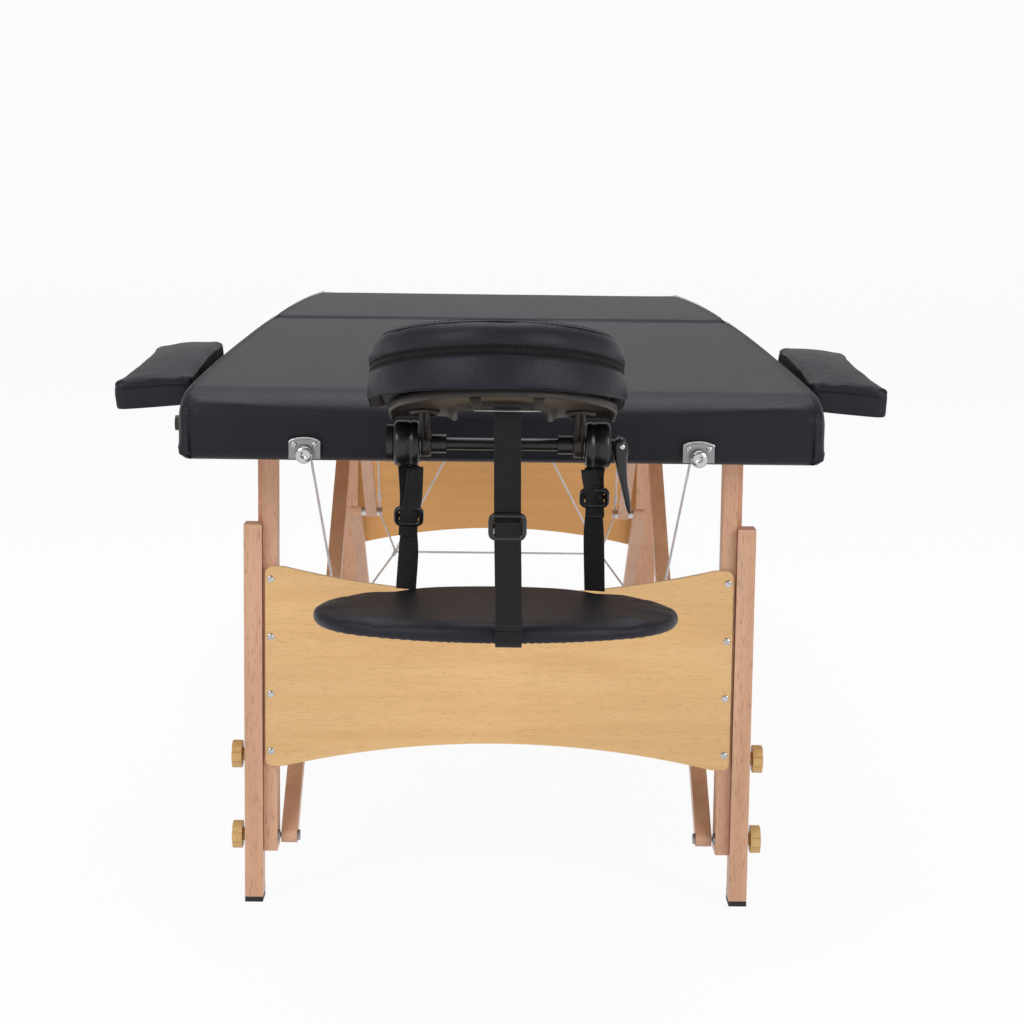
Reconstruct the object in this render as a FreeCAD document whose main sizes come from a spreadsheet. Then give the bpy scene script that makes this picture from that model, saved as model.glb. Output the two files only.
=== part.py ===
# Folding massage table with face cradle, arm shelf and two side armrests.
# Millimetres. X runs across the table, the head end is at -Y, the floor is Z = 0.
import FreeCAD, Part
import Sketcher
import math
import os

doc = FreeCAD.newDocument("massage_table")

# Driving dimensions
SIZES = {
    "half_width": 330, "half_length": 930, "top_height": 612, "half_thick": 84,
    "fold_gap": 1, "front_reach": 274, "latch_reach": 9,
    "skirt": 8, "rail_thick": 18, "rail_depth": 44, "deck_thick": 4,
    "crown_radius": 24000, "crown_flat": 36.6, "nose_radius": 34, "fold_round": 22, "edge_round": 18,
    "axis_drop": 5, "leaf_thick": 2.5, "barrel_radius": 4.5, "hinge_pin_radius": 2, "hinge_half": 30,
    "leg_station": 730, "pivot_rise": 26, "leg_depth": 32, "leg_width": 22.5, "leg_room": 35,
    "rebate_width": 7.2, "rebate_depth": 18.5, "rebate_end": 24, "leg_foot": 57,
    "tube_width": 20, "tube_depth": 26, "tube_proud": 8, "tube_top": 430, "slide_gap": 0.5,
    "foot_height": 6, "heel_height": 14, "heel_thick": 2,
    "knob_low": 74, "hole_pitch": 23.25, "hole_count": 11, "knob_radius": 15.5, "knob_thick": 11,
    "hub_radius": 7,
    "hub_length": 2.4, "notch_radius": 5, "bolt_radius": 3, "bolt_line": 8.5, "head_radius": 6,
    "head_height": 2.2,
    "bolt_play": 0.3, "pivot_bolt_radius": 4, "sleeve_radius": 8,
    "panel_gap": 3.3, "panel_round": 8, "panel_shoulder": 20, "panel_thick": 6, "panel_low": 157,
    "panel_high": 383, "panel_bow": 28,
    "screw_head_radius": 4.3, "screw_radius": 1.6, "screw_length": 20, "screw_edge": 6,
    "screw_first": 174,
    "screw_pitch": 65, "screw_count": 4,
    "brace_width": 17, "brace_lift": 3, "brace_thick": 18, "brace_gap": 3, "elbow_gap": 8,
    "brace_low": 70,
    "brace_near": 48, "clamp_radius": 7, "clamp_length": 9, "ear_thick": 4,
    "cable_radius": 1.5, "junction_x": 148, "junction_z": 270, "ferrule_radius": 4, "apex_x": 14,
    "anchor_in": 32.5,
    "latch_x": 200, "latch_width": 32, "latch_height": 22, "latch_plate": 2, "stud_rise": 4,
    "latch_arch": 5,
    "neck_radius": 5,
    "neck_length": 5, "stud_head_radius": 9, "stud_head_thick": 2, "hook_thick": 2, "hook_width": 15,
    "hook_gap": 4, "hook_pivot": 28,
    "glide_radius": 8, "glide_height": 12, "glide_end": 80, "glide_fold": 150, "glide_rise": 25,
    "handle_near": 150, "handle_span": 170, "handle_bow": 34, "handle_thick": 5, "handle_width": 26,
    "handle_foot": 22,
    "cradle_out": 105, "cradle_rise": 29, "peg_x": 92.5, "peg_radius": 8, "peg_inside": 70, "peg_drop": 9,
    "knuckle_radius": 22,
    "knuckle_width": 25, "rod_radius": 6, "rod_half": 112, "collar_radius": 9, "collar_length": 14,
    "cap_radius": 18, "cap_thick": 6, "arm_width": 11, "arm_radius": 17, "running_gap": 0.5,
    "tilt": 15, "plate_rise": 22.6, "plate_thick": 7, "plate_radius": 107, "plate_centre": 58,
    "plate_rear": 40,
    "plate_hole": 44, "strap_width": 25, "strap_thick": 2, "slot_in": 12,
    "pad_radius": 122, "pad_hole": 45, "pad_thick": 64, "pad_round": 24, "pad_gap": 0.3, "pad_rear": 74,
    "lever_x": 114, "lever_boss": 8.5, "lever_width": 28, "lever_length": 66, "lever_thick": 7,
    "lever_pin_radius": 2.5,
    "lever_lean": 8, "slot_open": 30,
    "shelf_half": 175, "shelf_depth_half": 103, "shelf_thick": 16, "shelf_drop": 157, "shelf_out": 126,
    "shelf_end": 80,
    "shelf_round": 6,
    "slider_width": 32, "slider_length": 24, "slider_thick": 7,
    "rest_gap": 6, "rest_width": 87, "rest_start": 180, "rest_length": 318, "rest_rise": 34,
    "rest_front": 34,
    "rest_rear": 45, "rest_waist": 11, "rest_round": 11, "rest_crest": 110, "rest_peg_radius": 3.6,
    "rest_peg_rise": 5.2, "rest_droop": 5,
    "rest_peg_reach": 34, "rest_peg_in": 60,
}
sheet = doc.addObject("Spreadsheet::Sheet", "sizes")
for row, (alias, value) in enumerate(SIZES.items(), start=1):
    sheet.set("A%d" % row, alias)
    sheet.set("B%d" % row, str(value))
    sheet.setAlias("B%d" % row, alias)
doc.recompute()


class Size:
    """A length or an angle: its sheet expression and, beside it, its number."""

    def __init__(self, text, number):
        self.text = text
        self.number = number

    def __add__(self, other):
        other = size(other)
        return Size("(%s + %s)" % (self.text, other.text), self.number + other.number)

    def __sub__(self, other):
        other = size(other)
        return Size("(%s - %s)" % (self.text, other.text), self.number - other.number)

    def __mul__(self, other):
        other = size(other)
        return Size("(%s * %s)" % (self.text, other.text), self.number * other.number)

    def __truediv__(self, other):
        other = size(other)
        return Size("(%s / %s)" % (self.text, other.text), self.number / other.number)

    def __neg__(self):
        return Size("(0 - %s)" % self.text, -self.number)


def size(value):
    if isinstance(value, Size):
        return value
    return Size("(%r)" % float(value), float(value))


def root(value):
    return Size("sqrt(%s)" % value.text, math.sqrt(value.number))


def sine(angle):
    return Size("sin(%s)" % angle.text, math.sin(math.radians(angle.number)))


def cosine(angle):
    return Size("cos(%s)" % angle.text, math.cos(math.radians(angle.number)))


def arctan(ratio):
    return Size("(atan(%s) / 1 deg)" % ratio.text, math.degrees(math.atan(ratio.number)))


D = {alias: Size("sizes." + alias, value) for alias, value in SIZES.items()}
ZERO = size(0)


def bind(thing, **fields):
    for field, value in fields.items():
        thing.setExpression(field, size(value).text)
    return thing


def place(thing, x, y, z):
    for axis, value in zip("xyz", (x, y, z)):
        thing.setExpression("Placement.Base." + axis, size(value).text)
    return thing


def turn_about_x(thing, angle):
    thing.Placement.Rotation = FreeCAD.Rotation(FreeCAD.Vector(1, 0, 0), 10)
    thing.setExpression("Placement.Rotation.Angle", size(angle).text)
    return thing


def box(name, x0, x1, y0, y1, z0, z1):
    thing = doc.addObject("Part::Box", name)
    bind(thing, Length=size(x1) - x0, Width=size(y1) - y0, Height=size(z1) - z0)
    return place(thing, x0, y0, z0)


TURNS = {
    "x": FreeCAD.Rotation(FreeCAD.Vector(0, 1, 0), 90),
    "y": FreeCAD.Rotation(FreeCAD.Vector(1, 0, 0), -90),
    "z": FreeCAD.Rotation(),
}


def round_bar(name, axis, start, end, u, v, radius):
    """A cylinder along one axis; u and v are its two other coordinates in x, y, z order."""
    thing = doc.addObject("Part::Cylinder", name)
    thing.Placement.Rotation = TURNS[axis]
    bind(thing, Radius=radius, Height=size(end) - start)
    where = {"x": (start, u, v), "y": (u, start, v), "z": (u, v, start)}[axis]
    return place(thing, *where)


def cut(name, base, *tools):
    tool = tools[0] if len(tools) == 1 else fuse(name + "_tools", *tools)
    thing = doc.addObject("Part::Cut", name)
    thing.Base = base
    thing.Tool = tool
    return thing


def fuse(name, *things):
    thing = doc.addObject("Part::MultiFuse", name)
    thing.Shapes = list(things)
    thing.Refine = True
    return thing


def group(name, *things):
    thing = doc.addObject("Part::Compound", name)
    thing.Links = list(things)
    return thing


def mirror(name, source, axis):
    """A copy on the other side of the table's centre plane (x) or of the fold (y)."""
    thing = doc.addObject("Part::Mirroring", name)
    thing.Source = source
    thing.Normal = FreeCAD.Vector(1, 0, 0) if axis == "x" else FreeCAD.Vector(0, 1, 0)
    if axis == "y":
        thing.setExpression("Base.y", fold.text)
    return thing


def flat_bar(name, x0, x1, start, end, width, over=0):
    """A square-ended bar in a plane of constant x, from one (y, z) point to another and a little past both."""
    run = size(end[0]) - start[0]
    rise = size(end[1]) - start[1]
    reach = root(run * run + rise * rise)
    angle = arctan(rise / run)
    half = size(width) / 2
    bar = doc.addObject("Part::Box", name)
    bind(bar, Length=size(x1) - x0, Width=reach + size(over) * 2, Height=width)
    first = start if run.number > 0 else end
    return place(turn_about_x(bar, angle), x0,
                 size(first[0]) + half * sine(angle) - size(over) * cosine(angle),
                 size(first[1]) - half * cosine(angle) - size(over) * sine(angle))


def wire_rod(name, start, end, radius):
    """A straight wire between two points."""
    run = [size(b) - a for a, b in zip(start, end)]
    reach = root(run[0] * run[0] + run[1] * run[1] + run[2] * run[2])
    thing = doc.addObject("Part::Cylinder", name)
    bind(thing, Radius=radius, Height=reach)
    parts = tuple(size(value).text for value in start)
    turn = "create(<<rotation>>; create(<<vector>>; %s; %s; 0); acos(%s / %s))" % (
        (-run[1]).text, run[0].text, run[2].text, reach.text)
    thing.setExpression("Placement",
                        "create(<<placement>>; create(<<vector>>; %s; %s; %s); %s)" % (parts + (turn,)))
    return thing


def between(start, end, gap_start, gap_end):
    """The two points on a line, each drawn back from its end."""
    run = [size(b) - a for a, b in zip(start, end)]
    reach = root(run[0] * run[0] + run[1] * run[1] + run[2] * run[2])
    first = [size(a) + d * gap_start / reach for a, d in zip(start, run)]
    last = [size(b) - d * gap_end / reach for b, d in zip(end, run)]
    return first, last


def body(name):
    return doc.addObject("PartDesign::Body", name)


def sketch_on(owner, role, name, offset=0):
    """A sketch on one of the body's own planes, moved along the plane's normal."""
    plane = [f for f in owner.Origin.OriginFeatures if f.Role == role][0]
    sketch = owner.newObject("Sketcher::SketchObject", name)
    sketch.AttachmentSupport = [(plane, "")]
    sketch.MapMode = "FlatFace"
    sketch.setExpression("AttachmentOffset.Base.z", size(offset).text)
    return sketch


def outline(sketch, corners):
    """A closed outline: corners (x, y, radius, side); a corner with a radius starts an arc."""
    count = len(corners)
    points = [FreeCAD.Vector(size(c[0]).number, size(c[1]).number, 0) for c in corners]
    first = sketch.GeometryCount
    starts = []
    for index, corner in enumerate(corners):
        a = points[index]
        b = points[(index + 1) % count]
        if len(corner) == 2:
            sketch.addGeometry(Part.LineSegment(a, b), False)
            starts.append((1, 2))
            continue
        radius = size(corner[2]).number
        side = corner[3]
        chord = b - a
        half = chord.Length / 2
        sag = radius - math.sqrt(max(radius * radius - half * half, 0))
        normal = FreeCAD.Vector(chord.y, -chord.x, 0).normalize()
        middle = (a + b) * 0.5 + normal * (sag * side)
        sketch.addGeometry(Part.Arc(a, middle, b), False)
        turn = (middle - a).cross(b - middle).z
        starts.append((1, 2) if turn > 0 else (2, 1))
    for index, corner in enumerate(corners):
        here = first + index
        after = first + (index + 1) % count
        sketch.addConstraint(Sketcher.Constraint("Coincident", here, starts[index][1], after,
                                                 starts[(index + 1) % count][0]))
    for index, corner in enumerate(corners):
        here = first + index
        for kind, value in (("DistanceX", corner[0]), ("DistanceY", corner[1])):
            value = size(value)
            number = sketch.addConstraint(Sketcher.Constraint(kind, -1, 1, here, starts[index][0],
                                                              value.number))
            sketch.setExpression("Constraints[%d]" % number, value.text)
        if len(corner) > 2:
            value = size(corner[2])
            number = sketch.addConstraint(Sketcher.Constraint("Radius", here, value.number))
            sketch.setExpression("Constraints[%d]" % number, value.text)
    return sketch


def circle(sketch, x, y, radius):
    centre = FreeCAD.Vector(size(x).number, size(y).number, 0)
    ring = sketch.addGeometry(Part.Circle(centre, FreeCAD.Vector(0, 0, 1), size(radius).number), False)
    for kind, value in (("DistanceX", x), ("DistanceY", y)):
        value = size(value)
        number = sketch.addConstraint(Sketcher.Constraint(kind, -1, 1, ring, 3, value.number))
        sketch.setExpression("Constraints[%d]" % number, value.text)
    number = sketch.addConstraint(Sketcher.Constraint("Radius", ring, size(radius).number))
    sketch.setExpression("Constraints[%d]" % number, size(radius).text)
    return sketch


def pad(owner, sketch, length, middle=False):
    feature = owner.newObject("PartDesign::Pad", sketch.Name + "_pad")
    feature.Profile = sketch
    feature.setExpression("Length", size(length).text)
    feature.SideType = "Symmetric" if middle else "One side"
    return feature


def round_edges(owner, base, radius, wanted):
    """A fillet on the edges of the base feature that the given test picks."""
    doc.recompute()
    names = ["Edge%d" % n for n, edge in enumerate(base.Shape.Edges, start=1) if wanted(edge)]
    feature = owner.newObject("PartDesign::Fillet", base.Name + "_round")
    feature.Base = (base, names)
    feature.setExpression("Radius", size(radius).text)
    return feature


NODES = []


def keep(label, thing):
    thing.Label = label
    NODES.append((label, thing))
    return thing


# Levels and stations shared by the pieces
fold = (D["front_reach"] - D["latch_reach"]) / 2
end_y = fold - D["half_length"]
inner_fold = fold - D["fold_gap"]
bottom = D["top_height"] - D["half_thick"]
deck_low = bottom + D["rail_depth"]
deck_top = deck_low + D["deck_thick"]
axis_z = bottom - D["axis_drop"]
pivot_z = bottom + D["pivot_rise"]
leg_y = fold - D["leg_station"]
bay_half = D["half_width"] - D["skirt"] - D["rail_thick"]
cover_in = D["half_width"] - D["skirt"]
cradle_y = end_y - D["cradle_out"]
cradle_z = bottom + D["cradle_rise"]
peg_z = cradle_z - D["peg_drop"]
shelf_top = cradle_z - D["shelf_drop"]
stud_z = bottom + D["stud_rise"]
glide_z = bottom + D["glide_rise"]
rest_low = bottom + D["rest_rise"]
rest_peg_z = rest_low + D["rest_peg_rise"]
bolt_y = leg_y - D["bolt_line"]
leg_front = leg_y - D["leg_depth"] / 2
leg_back = leg_y + D["leg_depth"] / 2
leg_outer = bay_half - D["leg_room"]
leg_inner = leg_outer - D["leg_width"]
lower_inner = leg_inner - D["brace_gap"] - D["brace_thick"]
upper_inner = lower_inner - D["elbow_gap"] - D["brace_thick"]
anchor_x = leg_inner - D["anchor_in"]
tube_in = leg_outer - D["rebate_width"] + D["slide_gap"]
tube_out = tube_in + D["tube_width"]
panel_half = tube_in - D["panel_gap"]
screw_line = panel_half - D["screw_edge"]
tube_front = leg_front - D["tube_proud"]
tube_back = tube_front + D["tube_depth"]
knob_high = D["knob_low"] + D["hole_pitch"] * 4
bolt_hole = D["bolt_radius"] + D["bolt_play"]

# Upholstered half: a padded lid over the deck, its skirt drawn down round the rails
lid = body("cushion_form")
profile = sketch_on(lid, "YZ_Plane", "cushion_profile")
crown_span = inner_fold - D["fold_round"] - D["crown_flat"] - end_y - D["nose_radius"]
crown_s = crown_span / (D["crown_radius"] - D["nose_radius"])
crown_c = root(size(1) - crown_s * crown_s)
run_one = D["crown_radius"] * crown_s
drop_one = D["crown_radius"] * (size(1) - crown_c)
run_two = D["nose_radius"] * (size(1) - crown_s)
drop_two = D["nose_radius"] * crown_c
outline(profile, [
    (end_y, bottom),
    (end_y, D["top_height"] - drop_one - drop_two, D["nose_radius"], -1),
    (end_y + run_two, D["top_height"] - drop_one, D["crown_radius"], -1),
    (end_y + run_one + run_two, D["top_height"]),
    (inner_fold - D["fold_round"], D["top_height"], D["fold_round"], -1),
    (inner_fold, D["top_height"] - D["fold_round"]),
    (inner_fold, bottom),
])
lid_pad = pad(lid, profile, D["half_width"] * 2, middle=True)


def on_the_side(edge):
    flat = all(abs(abs(v.X) - D["half_width"].number) < 0.01 for v in edge.Vertexes)
    return flat and edge.CenterOfMass.z > bottom.number + 1


round_edges(lid, lid_pad, D["edge_round"], on_the_side)

recess = box("cushion_recess", -cover_in, cover_in, end_y + D["skirt"], inner_fold - D["skirt"],
             bottom - 1, deck_top)
peg_way = [round_bar("peg_way", "y", end_y - 1, end_y + D["skirt"] + 1, x, peg_z,
                     D["peg_radius"] + 0.6)
           for x in (D["peg_x"], -D["peg_x"])]
rest_peg_y = [end_y + D["rest_start"] + D["rest_peg_in"],
              end_y + D["rest_start"] + D["rest_length"] - D["rest_peg_in"]]
rest_way = [round_bar("rest_way", "x", -D["half_width"] - 1, D["half_width"] + 1, y, rest_peg_z,
                      D["rest_peg_radius"] + 0.4) for y in rest_peg_y]
head_cushion = cut("head_cushion", lid, recess, *(peg_way + rest_way))
foot_lid = cut("foot_lid", lid, recess)
keep("head_cushion", head_cushion)
keep("foot_cushion", mirror("foot_cushion", foot_lid, "y"))

# Wooden frame and deck
rail_y0 = end_y + D["skirt"]
rail_y1 = inner_fold - D["skirt"]
rail_blank = box("side_rail_blank", bay_half, cover_in, rail_y0, rail_y1, bottom, deck_low)
pivot_way = round_bar("pivot_way", "x", bay_half - 1, cover_in - 2, leg_y, pivot_z,
                      D["pivot_bolt_radius"] + D["bolt_play"])
plain_rail = cut("plain_rail", rail_blank, pivot_way)
side_rail = cut("side_rail", plain_rail, *rest_way)
end_blank = box("end_rail_blank", -bay_half, bay_half, rail_y0, rail_y0 + D["rail_thick"], bottom,
                deck_low)
end_way = [round_bar("end_way", "y", rail_y0 - 1, rail_y0 + D["rail_thick"] + 1, x, peg_z,
                     D["peg_radius"] + 0.4) for x in (D["peg_x"], -D["peg_x"])]
end_rail = cut("end_rail", end_blank, *end_way)
fold_rail = box("fold_rail", -bay_half, bay_half, rail_y1 - D["rail_thick"], rail_y1, bottom, deck_low)
keep("head_frame", group("head_frame", side_rail, mirror("side_rail_left", side_rail, "x"), end_rail,
                         fold_rail))
foot_rails = group("foot_rails", plain_rail, mirror("plain_rail_left", plain_rail, "x"), end_blank,
                   fold_rail)
keep("foot_frame", mirror("foot_frame", foot_rails, "y"))
deck = box("deck", -cover_in, cover_in, rail_y0, rail_y1, deck_low, deck_top)
keep("head_deck", group("head_deck", deck))
keep("foot_deck", mirror("foot_deck", deck, "y"))

# Fold hinges, bent round the fold rail, with the ear that carries the upper brace
hinge_mid = upper_inner + D["brace_thick"] / 2
third = D["hinge_half"] / 3
leaf_back = rail_y1 - D["rail_thick"]
spring_y = fold - D["brace_near"]
spring_z = pivot_z + D["brace_lift"]
ear_x = upper_inner + D["brace_thick"] + 0.8


def hinge_leaf(name, knuckles):
    """One leaf: plate under the rail, flange, ear with brace pin, and its barrel pieces."""
    x0 = hinge_mid - D["hinge_half"]
    x1 = hinge_mid + D["hinge_half"]
    low = bottom - D["leaf_thick"]
    pieces = [
        box(name + "_plate", x0, x1, leaf_back - D["leaf_thick"], fold - D["barrel_radius"] - 1, low,
            bottom),
        box(name + "_flange", x0, x1, leaf_back - D["leaf_thick"], leaf_back, low, deck_low - 1),
        box(name + "_ear", ear_x, ear_x + D["ear_thick"], spring_y - D["brace_width"] / 2, leaf_back,
            spring_z - D["brace_width"] / 2, spring_z + D["brace_width"] / 2),
        round_bar(name + "_pin", "x", upper_inner - 2, ear_x + 1, spring_y, spring_z,
                  D["bolt_radius"]),
    ]
    for a, b in knuckles:
        pieces.append(box(name + "_tongue", a, b, leaf_back, fold, low, bottom - 0.4))
        pieces.append(round_bar(name + "_barrel", "x", a, b, fold, axis_z, D["barrel_radius"]))
    solid = fuse(name + "_solid", *pieces)
    bore = round_bar(name + "_bore", "x", x0 - 1, x1 + 1, fold, axis_z,
                     D["hinge_pin_radius"] + D["bolt_play"])
    return cut(name, solid, bore)


outer_knuckles = [(hinge_mid - D["hinge_half"], hinge_mid - third - 0.3),
                  (hinge_mid + third + 0.3, hinge_mid + D["hinge_half"])]
leaf_one = hinge_leaf("leaf_one", outer_knuckles)
leaf_two = hinge_leaf("leaf_two", [(hinge_mid - third, hinge_mid + third)])
keep("head_hinges", group("head_hinges", leaf_one, mirror("leaf_one_left", leaf_one, "x")))
leaf_pair = group("leaf_pair", leaf_two, mirror("leaf_two_left", leaf_two, "x"))
keep("foot_hinges", mirror("foot_hinges", leaf_pair, "y"))
hinge_pin = fuse("hinge_pin",
                 round_bar("hinge_pin_core", "x", hinge_mid - D["hinge_half"] - 0.3,
                           hinge_mid + D["hinge_half"] + 0.3, fold, axis_z, D["hinge_pin_radius"]),
                 round_bar("hinge_pin_rivet", "x", hinge_mid - D["hinge_half"] - 1.5,
                           hinge_mid - D["hinge_half"] - 0.3, fold, axis_z, D["hinge_pin_radius"] * 1.5),
                 round_bar("hinge_pin_head", "x", hinge_mid + D["hinge_half"] + 0.3,
                           hinge_mid + D["hinge_half"] + 1.5, fold, axis_z, D["hinge_pin_radius"] * 1.5))
keep("hinge_pins", group("hinge_pins", hinge_pin, mirror("hinge_pin_left", hinge_pin, "x")))

# Leg posts, rebated on the outer front corner for the sliding legs
brace_low_y = leg_y + D["brace_lift"]
post_blank = fuse("post_blank",
                  box("post_bar", leg_inner, leg_outer, leg_front, leg_back, D["leg_foot"], pivot_z),
                  round_bar("post_crown", "x", leg_inner, leg_outer, leg_y, pivot_z,
                            D["leg_depth"] / 2))
post_cuts = [
    box("post_rebate", leg_outer - D["rebate_width"], leg_outer + 1, leg_front - 1,
        leg_front + D["rebate_depth"],
        D["leg_foot"] - 1, pivot_z - D["rebate_end"]),
    round_bar("post_pivot_hole", "x", leg_inner - 1, leg_outer + 1, leg_y, pivot_z,
              D["pivot_bolt_radius"] + D["bolt_play"]),
    round_bar("post_brace_hole", "x", leg_inner - 1, leg_inner + 14, brace_low_y,
              D["brace_low"], bolt_hole),
]
for level in (D["knob_low"], knob_high):
    post_cuts.append(round_bar("post_knob_hole", "x", leg_inner - 1, leg_outer + 1, bolt_y, level,
                               bolt_hole))
screw_levels = [D["screw_first"] + D["screw_pitch"] * n for n in range(SIZES["screw_count"])]
screw_holes = [round_bar("screw_hole", "y", leg_front - D["panel_thick"] - 1,
                         leg_front + D["screw_length"],
                         screw_line, level,
                         D["screw_radius"] + D["bolt_play"]) for level in screw_levels]
post = cut("post", post_blank, *(post_cuts + screw_holes))
post_pair = group("post_pair", post, mirror("post_left", post, "x"))
keep("head_posts", post_pair)
keep("foot_posts", mirror("foot_posts", post_pair, "y"))

# End panel, bowed in along its top and bottom edges
board = body("panel_form")
panel_face = sketch_on(board, "XZ_Plane", "panel_outline", -(leg_front))
bow_half = panel_half - D["panel_shoulder"]
bow_radius = (bow_half * bow_half + D["panel_bow"] * D["panel_bow"]) / (D["panel_bow"] * 2)
outline(panel_face, [
    (-panel_half, D["panel_low"]),
    (-bow_half, D["panel_low"], bow_radius, -1),
    (bow_half, D["panel_low"]),
    (panel_half, D["panel_low"]),
    (panel_half, D["panel_high"]),
    (bow_half, D["panel_high"], bow_radius, -1),
    (-bow_half, D["panel_high"]),
    (-panel_half, D["panel_high"]),
])
board_pad = pad(board, panel_face, D["panel_thick"])


def at_a_corner(edge):
    thickness = abs(edge.Length - D["panel_thick"].number) < 0.01
    return thickness and all(abs(abs(v.X) - panel_half.number) < 0.01 for v in edge.Vertexes)


round_edges(board, board_pad, D["panel_round"], at_a_corner)
screw_ways = fuse("screw_ways", *(screw_holes + [mirror("screw_way_left", h, "x") for h in screw_holes]))
panel = cut("panel", board, screw_ways)
keep("head_panel", panel)
keep("foot_panel", mirror("foot_panel", panel, "y"))

# Panel screws
panel_front = leg_front - D["panel_thick"]
screws = []
for level in screw_levels:
    shank = round_bar("screw_shank", "y", panel_front - 0.5, leg_front + D["screw_length"] - 2,
                      screw_line, level,
                      D["screw_radius"])
    dome = round_bar("screw_dome", "y", panel_front - 2, panel_front, screw_line, level,
                     D["screw_head_radius"])
    screws.append(fuse("screw", shank, dome))
screws += [mirror("screw_left", screw, "x") for screw in screws]
screw_set = group("screw_set", *screws)
keep("head_panel_screws", screw_set)
keep("foot_panel_screws", mirror("foot_panel_screws", screw_set, "y"))

# Bolts that stay in the leg frame: knob bolts, brace bolts and leg pivots
knob_start = tube_out + 1.2
knob_end = knob_start + D["hub_length"] + D["knob_thick"]
bolts = []
for level in (D["knob_low"], knob_high):
    bolts.append(fuse("knob_bolt",
                      round_bar("knob_bolt_shank", "x", leg_inner - 1, knob_end - 3, bolt_y, level,
                                D["bolt_radius"]),
                      round_bar("knob_bolt_head", "x", leg_inner - D["head_height"], leg_inner,
                                bolt_y, level,
                                D["head_radius"])))
bolts.append(fuse("brace_bolt",
                  round_bar("brace_bolt_shank", "x", lower_inner - 2, leg_inner + 13,
                            brace_low_y,
                            D["brace_low"], D["bolt_radius"]),
                  round_bar("brace_bolt_head", "x", lower_inner - 3, lower_inner - 0.3,
                            brace_low_y,
                            D["brace_low"], D["head_radius"])))
bolts.append(fuse("pivot_bolt",
                  round_bar("pivot_shank", "x", anchor_x, cover_in - 3, leg_y, pivot_z,
                            D["pivot_bolt_radius"]),
                  round_bar("pivot_nut", "x", leg_inner - 6, leg_inner, leg_y, pivot_z,
                            D["clamp_radius"]),
                  round_bar("pivot_sleeve", "x", leg_outer, bay_half - 0.3, leg_y, pivot_z,
                            D["sleeve_radius"]),
                  round_bar("pivot_clamp", "x", anchor_x, anchor_x + D["clamp_length"], leg_y,
                            pivot_z,
                            D["clamp_radius"])))
bolts += [mirror("bolt_left", bolt, "x") for bolt in bolts]
bolt_set = group("bolt_set", *bolts)
keep("head_leg_bolts", bolt_set)
keep("foot_leg_bolts", mirror("foot_leg_bolts", bolt_set, "y"))

# Sliding legs with their row of height holes, and rubber feet
tube_blank = box("tube_blank", tube_in, tube_out, tube_front, tube_back, D["foot_height"], D["tube_top"])
tube_holes = [round_bar("height_hole", "x", tube_in - 1, tube_out + 1, bolt_y,
                        D["knob_low"] + D["hole_pitch"] * n,
                        D["bolt_radius"] + 0.5) for n in range(SIZES["hole_count"])]
tube = cut("tube", tube_blank, *tube_holes)
rubber = fuse("rubber",
              box("rubber_sole", tube_in, tube_out, tube_front, tube_back + D["heel_thick"], 0,
                  D["foot_height"]),
              box("rubber_heel", tube_in, tube_out, tube_back, tube_back + D["heel_thick"], 0,
                  D["heel_height"]))
hub_z = {"low": D["knob_low"], "high": knob_high}
knobs = {}
for name, level in hub_z.items():
    disc = fuse("knob_disc_" + name,
                round_bar("knob_hub", "x", knob_start, knob_start + D["hub_length"], bolt_y, level,
                          D["hub_radius"]),
                round_bar("knob_grip", "x", knob_start + D["hub_length"], knob_end, bolt_y, level,
                          D["knob_radius"]))
    dents = [round_bar("knob_bore", "x", knob_start - 1, knob_end - 2, bolt_y, level, bolt_hole)]
    for lobe in range(6):
        angle = math.radians(60 * lobe + 30)
        reach = D["knob_radius"] + D["notch_radius"] - 1.8
        dents.append(round_bar("knob_dent", "x", knob_start + D["hub_length"] - 0.1, knob_end + 1,
                               bolt_y + reach * math.cos(angle), level + reach * math.sin(angle),
                               D["notch_radius"]))
    knobs[name] = cut("knob_" + name, disc, *dents)
right_side = [("leg", tube), ("foot", rubber), ("knob_low", knobs["low"]), ("knob_high", knobs["high"])]
for piece, solid in right_side:
    keep("head_right_" + piece, group("head_right_" + piece, solid))
    left = keep("head_left_" + piece, mirror("head_left_" + piece, solid, "x"))
    keep("foot_right_" + piece, mirror("foot_right_" + piece, solid, "y"))
    keep("foot_left_" + piece, mirror("foot_left_" + piece, left, "y"))

# Two-piece braces that lie straight when open and fold back on themselves flat in the bay
open_run = D["leg_station"] - D["brace_lift"] - D["brace_near"]
open_rise = spring_z - D["brace_low"]
open_reach = root(open_run * open_run + open_rise * open_rise)
shut_reach = D["leg_station"] - (pivot_z - D["brace_low"]) - D["brace_near"]
lower_reach = (open_reach - shut_reach) / 2
elbow_y = brace_low_y + open_run * lower_reach / open_reach
elbow_z = D["brace_low"] + open_rise * lower_reach / open_reach


def brace(name, inner, ends, holes):
    """A round-ended flat bar between two (y, z) points, bored for its bolts."""
    across = inner, inner + D["brace_thick"]
    bar = fuse(name + "_bar",
               flat_bar(name + "_stick", *across, *ends, D["brace_width"]),
               *[round_bar(name + "_end", "x", *across, *point, D["brace_width"] / 2) for point in ends])
    return cut(name, bar, *[round_bar(name + "_hole", "x", inner - 1, across[1] + 1, *point, bolt_hole)
                            for point in holes])


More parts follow.
